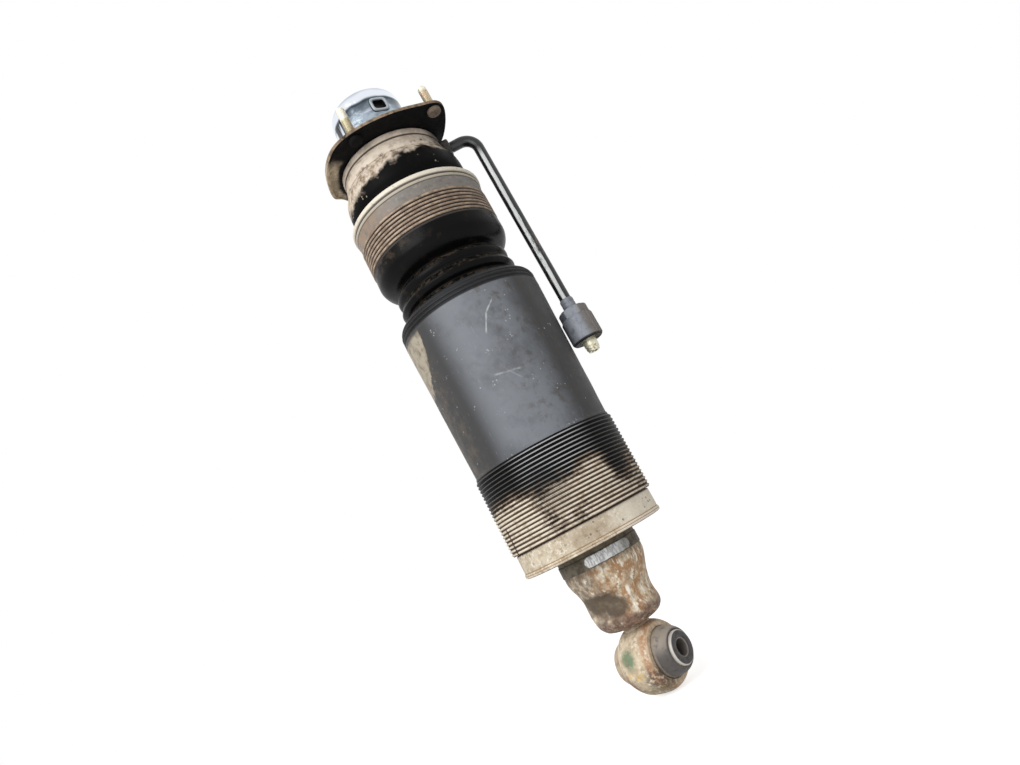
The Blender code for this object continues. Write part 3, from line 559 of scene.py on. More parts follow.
def stud_finish(colours):
    """Pale zinc with pinkish stains, dark in the thread, the head black with one brown corner."""
    f = Finish("stained_zinc")
    f.colour = f.mottled(colours.zinc, colours.copper, 9, 0.42)
    groove = f.patches(0.52, 0.66, 2.2, 4, 0.6, (1, 1, 0.5))
    f.lay(colours.earth, groove, 0.45)
    f.lay(shade(244, 238, 222), f.both(f.ramp(f.z, 15, 19), f.patches(0.3, 0.5, 3)))
    brown = f.mottled(shade(124, 111, 98), shade(92, 80, 70), 3, 0.4)
    head = f.over(colours.paint, brown, f.ramp(f.x, 45, 50))
    f.lay(head, f.ramp(f.z, -2.0, -3.6))
    f.relief(f.noise(1.0, 4), 0.05)
    bare = f.ramp(f.z, -3.6, -2.0)
    rough = f.math("MULTIPLY_ADD", bare, -0.35, 0.75)
    return f.close(rough, f.less(bare, 0.8), Specular_IOR_Level=0.08)


def cap_finish(colours):
    """Polished chrome with painted reflections: a bright crown, and blue-grey walls, dark under it, with
    pale flashes round them.
    """
    f = Finish("chrome_painted_reflections")
    # Painted reflections: the walls' blue-grey mottling, their dark top, the pale flashes and the dark line
    # under the crown
    wall = f.mottled(shade(172, 185, 196), shade(124, 137, 148), 16, 0.5, 2.0, (1, 1, 0.8), 2.0)
    wall = f.over(wall, shade(46, 53, 61), f.ramp(f.z, 34, 47), 0.75)
    reflection_streaks = f.patches(0.5, 0.66, 9, 1, 0.5, (1.8, 1.8, 0.5), 11.0)
    wall = f.over(wall, shade(208, 213, 226), f.both(f.band(f.z, 22, 37, 4), reflection_streaks), 0.85)
    # Painted reflection: light and dark upright stripes on one side of the wall
    side = f.side(-128, 0.72, 0.86)
    reflected_light = f.patches(0.46, 0.56, 5, 1, 0.5, (1, 1, 9), 3.0)
    reflected_bars = f.over(shade(20, 22, 25), shade(232, 238, 244), reflected_light)
    wall = f.over(wall, reflected_bars, side, 0.85)
    foot = f.both(f.ramp(f.z, 12, 4), f.patches(0.35, 0.55, 6, 3))
    wall = f.over(wall, shade(150, 140, 130), foot, 0.6)
    level = f.uneven(5.0, f.z, 22, 1)
    line = f.band(level, 47.0, 49.5, 1.0)
    wall = f.over(wall, shade(52, 60, 68), line, 0.7)
    # Painted reflection: the bright band round the crown
    bright = f.over(colours.chrome, shade(234, 239, 247), f.band(level, 50.0, 59.0, 2.5))
    f.colour = f.over(wall, bright, f.ramp(level, 49.0, 51.5))
    rough = f.math("MULTIPLY_ADD", f.patches(0.45, 0.75, 6, 5), 0.12, 0.08)
    f.relief(f.noise(9, 2), 0.08)
    return f.close(rough, 1.0)


def socket_finish(colours):
    """A pale moulded frame with painted shade, black, down its hole."""
    f = Finish("socket_frame")
    # Painted shade: black on the frame's inner walls down the hole
    hole = f.ramp(f.along(f.place, SOCKET_AZIMUTH), 35.4, 34.6)
    f.colour = f.mottled(colours.socket, shade(120, 128, 136), 6, 0.35)
    f.lay(shade(10, 10, 11), hole)
    f.relief(f.noise(0.8), 0.03)
    return f.close(f.uneven(0.2, 0.25, 3))


def housing_finish(colours):
    """Tan dust baked on the housing, a dark groove, pits, specks, one fine upright crack and painted shade
    on the port side.
    """
    f = Finish("tan_dusty_housing")
    f.colour = f.mottled(colours.tan_dust, shade(190, 174, 158), 11, 0.45)
    f.lay(shade(226, 212, 194), f.patches(0.5, 0.66, 6, 6, 0.7, shift=5), 0.7)
    f.lay(shade(120, 98, 78), f.patches(0.55, 0.7, 17, 5, 0.6, (1, 1, 0.5), 2), 0.6)
    lower = f.both(f.ramp(f.z, -16, -25), f.patches(0.5, 0.62, 7, 5, shift=8))
    f.lay(shade(58, 50, 44), lower, 0.75)
    groove = f.band(f.z, -11.3, -9.9, 0.25)
    f.lay(shade(52, 43, 36), groove, 0.9)
    pits = f.specks(6.0, 0.42)
    f.lay(shade(56, 46, 38), pits, 0.9)
    crack = f.scratch((*polar(50.2, -98), -3), (*polar(51.6, -94), -24), 0.3)
    f.lay(shade(44, 36, 30), crack)
    # Painted shade on the side towards the port and the pipe
    back = f.side(CLOCK, 0.75, 0.95)
    f.lay(shade(48, 43, 39), back, 0.8)
    f.relief(f.noise(1.2, 6, 0.7), 0.22)
    f.relief(f.math("SUBTRACT", 1.0, pits), 0.5)
    return f.close(f.uneven(0.3, 0.62, 5), Specular_IOR_Level=0.3)


def boot_finish(colours):
    """Black rubber with tan dust running down from the housing."""
    f = Finish("dusty_boot_rubber")
    edge = f.uneven(26.0, -13.0, 15, 5, 0.62)
    lean = f.math("MULTIPLY", f.side(-118, -0.1, 0.95), -13.0)
    level = f.math("ADD", f.math("SUBTRACT", f.z, lean), edge)
    dust = f.ramp(level, -34.0, -27.0)
    f.colour = f.mottled(colours.black, shade(24, 22, 20), 12, 0.3)
    sand = f.mottled(colours.tan_dust, shade(140, 118, 98), 6, 0.45)
    f.lay(sand, dust, 0.92)
    f.lay(shade(180, 168, 150), f.specks(3.4, 0.36), 0.7)
    film = f.both(f.patches(0.5, 0.75, 9, 6, 0.7, shift=6), f.ramp(f.facing_up, -0.2, 0.5))
    f.lay(shade(90, 78, 66), film, 0.4)
    f.relief(f.noise(1.5, 5), 0.12)
    rough = f.math("MULTIPLY_ADD", dust, 0.4, 0.45)
    return f.close(rough, Specular_IOR_Level=0.04)


def sleeve_finish(colours):
    """A cream rim, a grey band and brown dusty ribs with dark grooves, browner on one side."""
    f = Finish("grey_sleeve_with_pale_rim")
    rim = f.mottled(colours.rim, shade(196, 184, 164), 8, 0.3)
    rim = f.over(rim, shade(120, 102, 86), f.patches(0.6, 0.7, 5, 6, shift=3), 0.5)
    grey = f.mottled(colours.grey_band, shade(98, 92, 86), 16, 0.4, stretch=(1, 1, 0.35))
    grey = f.over(grey, shade(164, 158, 150), f.patches(0.52, 0.68, 3.5, 5, shift=7), 0.35)
    brown = f.both(f.side(-125, 0.30, 0.95), f.patches(0.30, 0.6, 9, 6, shift=1))
    grey = f.over(grey, shade(150, 126, 104), brown, 0.85)
    ribs = f.mottled(shade(132, 112, 94), shade(98, 84, 72), 10, 0.45, stretch=(1, 1, 0.4))
    groove = f.ramp(f.across, 63.0, 62.4)
    ribs = f.over(ribs, shade(38, 30, 25), groove, 0.95)
    crests = f.both(f.ramp(f.across, 63.15, 63.4), f.patches(0.4, 0.65, 8, 5))
    ribs = f.over(ribs, shade(176, 156, 134), crests)
    f.colour = f.over(ribs, grey, f.ramp(f.z, -80.6, -79.8))
    line = f.either(f.band(f.z, -66.3, -64.9, 0.2), f.band(f.z, -69.6, -68.9, 0.2))
    rim = f.over(rim, shade(150, 138, 122), f.ramp(f.z, -65.6, -66.4), 0.6)
    f.lay(rim, f.ramp(f.z, -69.2, -68.8))
    f.lay(shade(46, 40, 36), line, 0.85)
    foot = f.ramp(f.z, -104.0, -106.0)
    f.lay(shade(36, 32, 29), foot)
    f.relief(f.noise(1.6, 5, 0.65), 0.12)
    return f.close(f.uneven(0.3, 0.42, 6))


def bellows_finish(colours):
    """Glossy black rubber with brown dust lying on its folds."""
    f = Finish("bellows_rubber")
    f.colour = f.mottled(colours.black, shade(22, 19, 17), 10, 0.3)
    lying = f.both(f.ramp(f.facing_up, 0.1, 0.8), f.ramp(f.z, -126, -134))
    dust = f.patches(0.44, 0.64, 6, 6, 0.7)
    f.lay(shade(86, 74, 63), f.both(lying, dust), 0.75)
    film = f.patches(0.55, 0.75, 14, 5, shift=4)
    f.lay(shade(52, 43, 36), film, 0.45)
    collar = f.both(f.ramp(f.z, -118, -110), f.side(-125, 0.2, 0.9))
    f.lay(shade(88, 73, 60), f.both(collar, dust), 0.6)
    f.relief(f.noise(2.2, 4), 0.10)
    return f.close(f.uneven(0.3, 0.16, 8), Specular_IOR_Level=0.07)


def cover_finish(colours):
    """Charcoal plastic: a painted sheen towards azimuth -46, dust on both sides, a beige patch, scratches
    and specks.
    """
    f = Finish("scuffed_charcoal_cover")
    # Painted sheen: a paler band on the side towards azimuth -46
    rubbed = f.both(f.side(-46, 0.74, 0.99), f.patches(0.1, 0.5, 38, 4, 0.5, (1, 1, 1.6)))
    f.colour = f.over(colours.cover, colours.cover_sheen, rubbed, 0.9)
    cloud = f.patches(0.44, 0.7, 24, 6, 0.65, shift=2)
    f.lay(shade(62, 63, 66), cloud, 0.4)
    side = f.both(f.side(4, 0.35, 0.9), f.patches(0.46, 0.7, 9, 6, 0.7, shift=5))
    f.lay(shade(72, 64, 54), side, 0.6)
    left = f.both(f.side(-132, 0.70, 0.97), f.patches(0.40, 0.66, 8, 6, 0.7, shift=9))
    f.lay(shade(96, 86, 74), left, 0.8)
    warped = f.uneven(12.0, f.z, 7, 5, 0.65)
    narrow = f.ramp(warped, -238.0, -176.0)
    reach_in = f.math("MULTIPLY_ADD", narrow, 0.13, f.toward(-122))
    sharp = f.ramp(f.uneven(0.03, reach_in, 3, 5), 1.022, 1.032)
    patch = f.both(sharp, f.ramp(f.z, -179, -183), f.ramp(warped, -236, -216))
    beige = f.mottled(shade(178, 168, 150), shade(134, 122, 106), 6, 0.45)
    f.lay(beige, patch, 0.88)
    arc = f.either(f.scratch((*polar(65.4, -32), -192), (*polar(65.3, -40), -200), 0.9),
                   f.scratch((*polar(65.3, -40), -200), (*polar(65.0, -46.5), -215), 0.9))
    streak = f.either(f.scratch((*polar(64.2, -55), -249), (*polar(63.9, -37), -253), 1.2),
                      f.less(f.scratch((*polar(64.1, -45), -251), (*polar(63.8, -39), -260), 0.7), 0.45))
    nicks = f.specks(2.6, 0.37, 2.0)
    fine = f.patches(0.64, 0.74, 1.3, 3, 0.6, (1, 1, 6), 3)
    marks = f.either(f.less(arc, 0.62), f.less(streak, 0.42), f.less(nicks, 0.45), f.less(fine, 0.16))
    f.lay(shade(206, 208, 208), marks)
    ridge = f.ramp(f.z, -178.2, -176.8)
    f.lay(shade(11, 11, 12), ridge, 0.92)
    f.relief(f.noise(0.9, 4), 0.05)
    f.relief(f.noise(14, 3), 0.12)
    return f.close(f.uneven(0.3, 0.4, 9, 5), Specular_IOR_Level=0.25)


def gaiter_finish(crest):
    """Black ribbed rubber: a painted highlight in fine pale lines on its crests, and low down pale dust with
    brown grooves.
    """
    f = Finish("ribbed_gaiter_rubber")
    # Painted highlight: pale lines along the crests, lightest towards azimuth -46
    ridge = f.ramp(f.across, crest - 0.4, crest - 0.08)
    worn = f.over(shade(84, 83, 82), shade(184, 185, 186), f.side(-46, 0.8, 1.0))
    f.colour = f.over(shade(12, 12, 12), worn, ridge, 0.9)
    held = f.either(f.near((-12, -63, -362), (36, 30, 22), 1.7, 0.4, 14),
                    f.near((42, -49, -358), (19, 19, 11), 1.7, 0.5, 11),
                    f.near((58, -27, -350), (10, 14, 13), 1.7, 0.5, 11),
                    f.near((58, -28, -372), (22, 22, 9), 1.7, 0.5, 11))
    bare = f.either(f.near((25, -59, -366), (11, 12, 11), 1.5, 0.5, 11),
                    f.near((47, -44, -371), (9, 10, 8), 1.5, 0.5, 11),
                    f.near((64, -5, -352), (6, 12, 16), 1.5, 0.5, 11))
    grain = f.patches(0.28, 0.72, 5, 7, 0.78, (1.5, 1.5, 0.6))
    amount = f.math("MULTIPLY_ADD", held, 0.62, f.less(f.ramp(f.z, -340, -362), 0.34))
    amount = f.math("SUBTRACT", amount, f.less(bare, 0.36))
    amount = f.math("MULTIPLY_ADD", grain, 0.55, f.math("SUBTRACT", amount, 0.02))
    dusty = f.both(f.ramp(amount, 0.0, 0.9), f.ramp(f.z, -328, -346))
    brown = f.over(shade(36, 29, 24), shade(148, 131, 114), f.ramp(f.across, crest - 0.6, crest - 0.12))
    pale = f.mottled(shade(232, 222, 203), shade(190, 172, 148), 5, 0.42)
    pale = f.over(shade(86, 70, 58), pale, f.ramp(f.across, crest - 0.85, crest - 0.35))
    soil = f.over(brown, pale, f.ramp(dusty, 0.4, 0.95))
    f.lay(soil, f.ramp(dusty, 0.0, 0.5))
    blue = f.near((34, -55, -345), (15, 15, 17), 1.2, 0.4, 12)
    f.lay(shade(34, 50, 60), f.both(blue, ridge), 0.7)
    f.relief(f.noise(1.2, 5), 0.1)
    rough = f.math("MULTIPLY_ADD", dusty, 0.35, 0.45)
    return f.close(rough, Specular_IOR_Level=0.06)


def ring_finish(colours):
    """A pale ring mottled with brown, a brown stain in front, cream on one side, rusty lines at its lip,
    painted shade underneath.
    """
    f = Finish("mottled_end_ring")
    f.colour = f.mottled(colours.ring, shade(184, 166, 141), 9, 0.45, stretch=(1, 1, 0.7))
    f.lay(shade(142, 124, 102), f.patches(0.53, 0.64, 5, 7, 0.75, shift=7), 0.8)
    f.lay(shade(246, 238, 220), f.patches(0.5, 0.64, 3.2, 6, 0.7, shift=4), 0.75)
    rough = f.patches(0.34, 0.56, 3, 6, 0.7, shift=9)
    stain = f.near((40, -46, -390), (19, 19, 8), 0.9, 0.7, 7)
    f.lay(colours.ring_brown, stain, 0.55)
    blotch = f.near((60, -12, -388), (12, 16, 8), 0.9, 0.8, 6)
    f.lay(shade(104, 90, 74), f.both(blotch, rough), 0.15)
    f.lay(shade(250, 240, 221), f.side(5, 0.72, 0.95), 0.65)
    dark = f.specks(4.0, 0.45, 1.0)
    f.lay(shade(96, 80, 62), dark, 0.7)
    line = f.either(f.band(f.z, -396.1, -395.5, 0.15), f.band(f.z, -398.0, -397.5, 0.15))
    f.lay(shade(150, 112, 62), line, 0.8)
    seam = f.ramp(f.z, -381.8, -380.2)
    f.lay(shade(88, 70, 56), seam, 0.8)
    # Painted shade on the faces that look down
    under = f.ramp(f.facing_up, -0.5, -0.9)
    f.lay(shade(62, 54, 40), under, 0.9)
    f.relief(f.noise(1.5, 6, 0.7), 0.3)
    return f.close(f.uneven(0.3, 0.55, 6), Specular_IOR_Level=0.3)


def casting_finish(colours):
    """Cast iron under beige dust: rust patches, rust and painted shade in the front hollow, a painted
    highlight, painted shadow on the neck and a chipped foot.
    """
    f = Finish("rusty_dusty_casting")
    f.colour = f.mottled(shade(224, 206, 178), shade(150, 128, 102), 7, 0.45)
    rusty = f.both(f.patches(0.42, 0.58, 8, 6, 0.7, (1, 1, 1.5), 1), f.side(-20, 0.0, 0.8))
    f.lay(colours.rust, rusty, 0.85)
    pale = f.patches(0.52, 0.64, 4, 6, 0.7, (1, 1, 2.2), 6)
    f.lay(shade(252, 244, 226), pale, 0.92)
    left = f.both(f.side(-120, 0.35, 0.95), f.patches(0.3, 0.6, 7, 6, shift=8))
    f.lay(shade(102, 86, 73), left, 0.85)
    # Painted shade over rust in the scooped hollow in front
    hollow = f.either(f.near((1, -28, -443), (17, 14, 8.5), 0.7, 0.3, 7),
                      f.near((-9, -27, -440), (12, 10, 6), 0.6, 0.3, 6),
                      f.near((10, -25, -449), (11, 11, 9), 0.6, 0.3, 6))
    f.lay(f.mottled(colours.rust_and_shade, shade(108, 94, 77), 6, 0.42), hollow, 0.95)
    # Painted highlight: a bright upright streak to the right of the hollow
    shine = f.scratch((22.9, -15.6, -438), (22.6, -17.0, -456), 1.7)
    f.lay(shade(255, 250, 238), shine, 0.9)
    foot = f.both(f.ramp(f.z, -453, -461), f.patches(0.36, 0.5, 6, 6, 0.7, shift=3))
    f.lay(f.mottled(shade(138, 108, 92), shade(78, 60, 52), 5, 0.5), foot, 0.9)
    neck = f.ramp(f.uneven(8.0, f.z, 7, 5), -417, -405)
    shadowed = f.mottled(shade(104, 94, 72), shade(66, 58, 44), 8, 0.5)
    f.lay(shadowed, neck, 0.92)
    f.relief(f.noise(1.8, 6, 0.7), 0.4)
    f.relief(f.noise(6, 4), 0.5)
    return f.close(f.uneven(0.35, 0.45, 5), Specular_IOR_Level=0.4)


def band_finish(colours):
    """Dull dark band, bare bright scratched metal along the front with a rounded end."""
    f = Finish("scratched_bright_band")
    turn = f.math("ARCTAN2", f.y, f.x)
    run = f.math("MULTIPLY", f.math("ADD", turn, math.radians(38)), CASTING_R)
    rise = f.math("ADD", f.z, 409.5)
    over = f.math("MAXIMUM", f.math("SUBTRACT", f.math("ABSOLUTE", run), 17.0), 0.0)
    bare = f.ramp(f.uneven(1.6, f.distance(over, rise), 2.4, 4), 5.2, 4.4)
    dull = f.mottled(shade(112, 104, 90), shade(76, 68, 56), 6, 0.5)
    fade = f.ramp(f.uneven(16.0, run, 4, 5), 26.0, 10.0)
    bare = f.both(bare, f.math("MULTIPLY_ADD", fade, 0.6, 0.4))
    scratched = f.patches(0.40, 0.62, 1.8, 5, 0.7, (1, 1, 3))
    bright = f.over(colours.silver, shade(134, 136, 134), scratched, 0.8)
    f.colour = f.over(dull, bright, bare)
    f.relief(f.noise(1.2, 4, 0.6, (1, 1, 3)), 0.12)
    return f.close(f.math("MULTIPLY_ADD", bare, -0.35, 0.7), 0.35)


def eye_finish(colours):
    """Cream dust on the eye, rust near the bush, a green smudge, ochre spots and a brown lower side."""
    f = Finish("dusty_lower_eye")
    f.colour = f.mottled(colours.eye, shade(178, 158, 128), 6, 0.45)
    f.lay(shade(244, 234, 214), f.patches(0.5, 0.64, 3.4, 6, 0.7, shift=2), 0.75)
    rust = f.both(f.band(f.x, 10.5, 15.5, 2.0), f.patches(0.36, 0.56, 4, 6, 0.7, shift=5))
    f.lay(shade(184, 132, 92), rust, 0.85)
    patches = (((14, -20, -511), (11, 14, 13), 7, (0.36, 0.54), shade(84, 66, 54), 0.9),
               ((4, -18, -522), (18, 14, 9), 9, (0.36, 0.56), shade(126, 112, 80), 0.8),
               ((-12, -22, -513), (8, 9, 9), 4, (0.3, 0.55), shade(112, 84, 62), 0.75))
    for centre, size, shift, edges, brown, share in patches:
        worn = f.patches(*edges, 3, 6, shift=shift)
        f.lay(brown, f.both(f.near(centre, size, 0.9, 0.6, 6), worn), share)
    green = f.near((-2.5, -27, -488), (6.0, 6, 8.0), 0.9, 0.8, 3)
    deep = f.over(colours.algae, shade(110, 112, 88), f.patches(0.45, 0.6, 2.4, 4))
    f.lay(deep, green, 0.85)
    spots = f.either(f.near((-7, -26, -500), (3.0, 5, 2.6), 0.7, 0.8, 3),
                     f.near((1, -27, -503), (4.6, 5, 3.0), 0.8, 1.0, 3))
    f.lay(colours.ochre, f.both(spots, f.patches(0.44, 0.56, 1.8, 4)), 0.6)
    dark = f.near((-13, -23, -510), (4, 8, 11), 0.9, 0.6, 5)
    f.lay(shade(120, 88, 66), dark, 0.8)
    inner = f.ramp(f.uneven(4.0, f.z, 4, 4), -472, -467)
    f.lay(shade(104, 76, 56), inner, 0.75)
    f.relief(f.noise(1.5, 6, 0.7), 0.3)
    return f.close(f.uneven(0.35, 0.42, 5), Specular_IOR_Level=0.45)


def bush_finish(colours):
    """Grey dusty rubber, paler on the side that dust lies on."""
    f = Finish("dusty_bush_rubber")
    f.colour = f.mottled(colours.bush, shade(58, 55, 53), 7, 0.4)
    lying = f.both(f.ramp(f.facing_up, 0.0, 0.7), f.patches(0.25, 0.5, 5, 6, shift=3))
    f.lay(shade(178, 166, 152), lying, 0.75)
    caked = f.mottled(shade(198, 180, 154), shade(140, 112, 90), 5, 0.42)
    f.lay(caked, f.ramp(f.x, -12.0, -15.5), 0.92)
    edge = f.band(f.x, 15.6, 18.2, 0.5)
    f.lay(shade(150, 136, 120), f.both(edge, f.patches(0.35, 0.55, 3)), 0.7)
    f.relief(f.noise(1.0, 5), 0.08)
    return f.close(f.uneven(0.3, 0.45, 4))


def bolt_sleeve_finish():
    """A dark end face with a bright outer edge, a worn ring round the bore and a grey bore."""
    f = Finish("worn_bolt_sleeve")
    across = f.distance(f.y, f.math("SUBTRACT", f.z, EYE_Z))
    f.colour = f.mottled(shade(64, 61, 60), shade(44, 42, 41), 3, 0.5)
    f.lay(shade(206, 200, 192), f.ramp(across, 12.2, 12.9))
    f.lay(shade(150, 142, 134), f.band(across, 6.5, 7.3, 0.15), 0.6)
    f.lay(shade(120, 112, 106), f.ramp(across, 6.6, 6.45), 0.8)
    f.relief(f.noise(0.8, 4), 0.05)
    return f.close(f.uneven(0.3, 0.35, 3), 0.2)


def pipe_finish(colours):
    """Black glossy coat, worn to bright steel along one side, with dust low down."""
    f = Finish("worn_pipe_coat")
    centre = (*polar(PIPE_X, CLOCK), 0)
    away = f.vector("MULTIPLY", f.vector("SUBTRACT", f.place, centre), (1, 1, 0))
    side = f.along(f.vector("NORMALIZE", away), -62)
    rubbed = f.uneven(0.16, side, 6, 5, 0.7, (1, 1, 5))
    straight = f.ramp(f.z, -30, -44)
    worn = f.both(f.ramp(rubbed, 1.005, 1.04), straight)
    broken = f.patches(0.36, 0.5, 9, 5, 0.7, (1, 1, 3), 4)
    low_half = f.ramp(f.z, -108, -128)
    worn = f.both(worn, f.either(f.math("SUBTRACT", 1.0, low_half), broken))
    f.colour = f.over(colours.pipe, shade(214, 216, 216), worn)
    mud = f.both(f.ramp(f.z, -112, -150), f.patches(0.55, 0.7, 7, 6, 0.7, (1, 1, 2), 6))
    f.lay(shade(156, 140, 122), mud, 0.6)
    f.relief(f.noise(2.4, 5), 0.08)
    return f.close(f.uneven(0.25, 0.2, 5))


def nut_finish(colours):
    """Matte grey phosphate, brownish on one side, rubbed pale on the edges, and black underneath as painted
    shadow.
    """
    f = Finish("grey_phosphate")
    f.colour = f.mottled(colours.nut, shade(112, 117, 126), 6, 0.4)
    f.lay(shade(178, 182, 188), f.patches(0.56, 0.7, 2.5, 6, 0.7, shift=4), 0.5)
    away = f.vector("SUBTRACT", f.place, (*polar(PIPE_X, CLOCK), 0))
    f.lay(shade(116, 106, 94), f.ramp(f.along(away, 25), 3.0, 10.0), 0.7)
    # Painted shadow: black on the faces that look down
    under = f.ramp(f.facing_up, -0.3, -0.7)
    f.lay(shade(9, 9, 9), under)
    f.relief(f.noise(0.9, 5), 0.08)
    metal = f.math("MULTIPLY_ADD", under, -0.2, 0.2)
    return f.close(f.uneven(0.3, 0.42, 4), metal, Specular_IOR_Level=0.15)


def nipple_finish(colours):
    """Pale plating with brown grains at its rough end."""
    f = Finish("pale_plated_nipple")
    f.colour = f.mottled(colours.nipple, shade(206, 196, 158), 4, 0.4)
    grains = f.both(f.ramp(f.z, -250, -254), f.patches(0.48, 0.6, 1.8, 5))
    f.lay(shade(124, 104, 78), grains, 0.8)
    f.relief(f.noise(1.0, 5), 0.1)
    return f.close(f.uneven(0.3, 0.25, 3), 0.45)


def port_finish():
    """Black painted block with brown dust in its corners."""
    f = Finish("dusty_port_block")
    f.colour = f.mottled(shade(36, 33, 31), shade(58, 51, 45), 6, 0.4)
    dust = f.both(f.ramp(f.facing_up, -0.3, 0.6), f.patches(0.45, 0.6, 4, 6))
    f.lay(shade(138, 120, 102), dust, 0.7)
    f.relief(f.noise(1.0, 5), 0.1)
    return f.close(f.uneven(0.3, 0.4, 4))


def inner_finish(name, colour, roughness, metallic, mark):
    """A finish for a piece inside the strut: its colour with fine turning marks or moulding grain."""
    f = Finish(name)
    grain = f.noise(3, 5, 0.6, (4, 4, 0.4) if mark == "turned" else (1, 1, 1))
    darker = tuple(0.72 * c for c in colour)
    f.colour = f.over(colour, darker, f.ramp(grain, 0.4, 0.62))
    f.relief(grain, 0.03)
    return f.close(f.math("MULTIPLY_ADD", grain, 0.2, roughness), metallic)


def build_plate(sizes, colours):
    """The plate: a section of (inset, height) carried round the outline, its depth following the fold."""
    count = 360
    thick = 3.5
    wall = 3.0
    hole = 22.3
    fold_start, fold_end, fold_rate = 7.9, 11.3, 5    # counted in points of the outline
    outline = smooth_curve(PLATE_OUTLINE, count, True)
    along = np.linspace(0, len(PLATE_OUTLINE), count, endpoint=False)
    fold = 1 / (1 + np.exp(-(along - fold_start) * fold_rate)) / (1 + np.exp((along - fold_end) * fold_rate))
    outer = np.linalg.norm(outline, axis=1)
    depth = thick + (sizes.skirt_depth / MM - thick) * fold
    edge = sizes.plate_edge / MM + 2.0 * fold
    extra = depth - thick
    inner = outer - hole
    zero = np.zeros(count)
    rows = [(inner, zero), (0.6 * inner, zero), (9 + zero, zero)]
    for turn in np.radians((0, 22, 45, 68, 90)):
        rows.append((edge * (1 - np.sin(turn)), edge * (np.cos(turn) - 1)))
    rows += [(zero, -depth + 0.9), (zero + 0.25, -depth + 0.25), (zero + 0.9, -depth),
             (wall - 0.7 + zero, -depth), (wall + zero, -thick - 0.85 * extra),
             (wall + 0.3 + zero, -thick - 0.3 * extra), (wall + 1.6 + zero, -thick - 0.05 * extra),
             (wall + 4 + zero, zero - thick), (0.6 * inner, zero - thick), (inner, zero - thick)]
    inset = np.stack([row[0] for row in rows])
    height = np.stack([row[1] for row in rows])
    plan = outline[None] * (1 - inset / outer)[..., None]
    points = np.concatenate([plan, height[..., None]], axis=-1)
    plate = surface("dusty_mounting_plate", clocked(points, CLOCK), plate_finish(colours), True)
    settle(plate, "mount", "mount_plate")


def build_studs(sizes, colours):
    """Studs with a head and a thread r = shank - depth (1 - |sin((a - 2 pi z / pitch) / 2)|)."""
    pitch, depth = sizes.thread_pitch / MM, sizes.thread_depth / MM
    shank = 4.0
    head = 6.3
    finish = stud_finish(colours)

    def thread(angle, r, z):
        wave = np.abs(np.sin((angle - 2 * np.pi * z / pitch) / 2))
        cut = np.clip(z - 1.5, 0, 1) * np.clip(z.max() - 0.4 - z, 0, 1) * (r > 2.5)
        return -depth * (1 - wave) * cut

    for node, (x, y) in STUDS.items():
        height, foot = top(node), low(node)
        profile = rounded([(0, height), (shank - 1.2, height), (shank, height - 2), (shank, foot + 4),
                           (head, foot + 4), (head, foot + 1.2), (head - 1.2, foot), (0, foot)], 0.5)
        points = moved(turned(spaced(profile, 0.16), 28, thread), x, y)
        stud = surface("threaded_" + node[6:], clocked(points, CLOCK), finish, False)
        settle(stud, "mount", node)


def build_cap(sizes, colours):
    """The cap, a turned shell with a round crown, a grooved foot and a hole, and the socket's frame."""
    radius = reach("top_cap")
    height = top("top_cap")
    crown = sizes.cap_crown / MM
    arc = np.radians(np.linspace(90, 0, 12))
    curve = [(radius - crown + crown * np.cos(a), height - crown + crown * np.sin(a)) for a in arc]
    wall = 2.4
    profile = [(0, height), (10, height), *curve, (radius, 4.6), (radius - 0.5, 3.9), (radius, 3.2),
               (radius, 0.4), (radius - wall, 0.4), (radius - wall, height - crown),
               (radius - crown, height - wall), (0, height - wall)]
    profile = spaced(rounded(profile, 0.5, 3), 3.0)
    cap = surface("polished_cap", turned(profile, 128), cap_finish(colours), False)
    turn = np.linspace(0, 2 * np.pi, 64, endpoint=False)[None, :]
    cos, sin = np.cos(turn), np.sin(turn)
    square_x = np.sign(cos) * np.abs(cos) ** 0.5
    square_y = np.sign(sin) * np.abs(sin) ** 0.5

    def frame_rows(rows):
        x, across, up = (np.array(v)[:, None] for v in zip(*rows))
        grid = np.stack([x + 0 * square_x, across * square_x, up * square_y + SOCKET_Z], axis=-1)
        return clocked(grid, SOCKET_AZIMUTH)

    cutter_rows = [(25, 0, 0), (25, 8.8, 7.8), (45, 8.8, 7.8), (45, 0, 0)]
    cutter = surface("socket_cutter", frame_rows(cutter_rows), cap.data.materials[0], False)
    combine(cap, cutter, "DIFFERENCE")
    settle(cap, "mount", "top_cap")
    wall = sizes.socket_wall / MM
    rows = [(30.6, 0, 0), (30.6, 8.5 - wall, 7.5 - wall), (35.3, 8.5 - wall, 7.5 - wall),
            (36.0, 8.8 - wall, 7.8 - wall), (36.2, 9.4 - wall, 8.4 - wall), (36.2, 7.5, 6.5),
            (35.9, 8.2, 7.2), (35.3, 8.5, 7.5), (29.6, 8.5, 7.5), (29.6, 0, 0)]
    socket = surface("sensor_socket_frame", frame_rows(rows), socket_finish(colours), False)
    settle(socket, "mount", "sensor_socket")


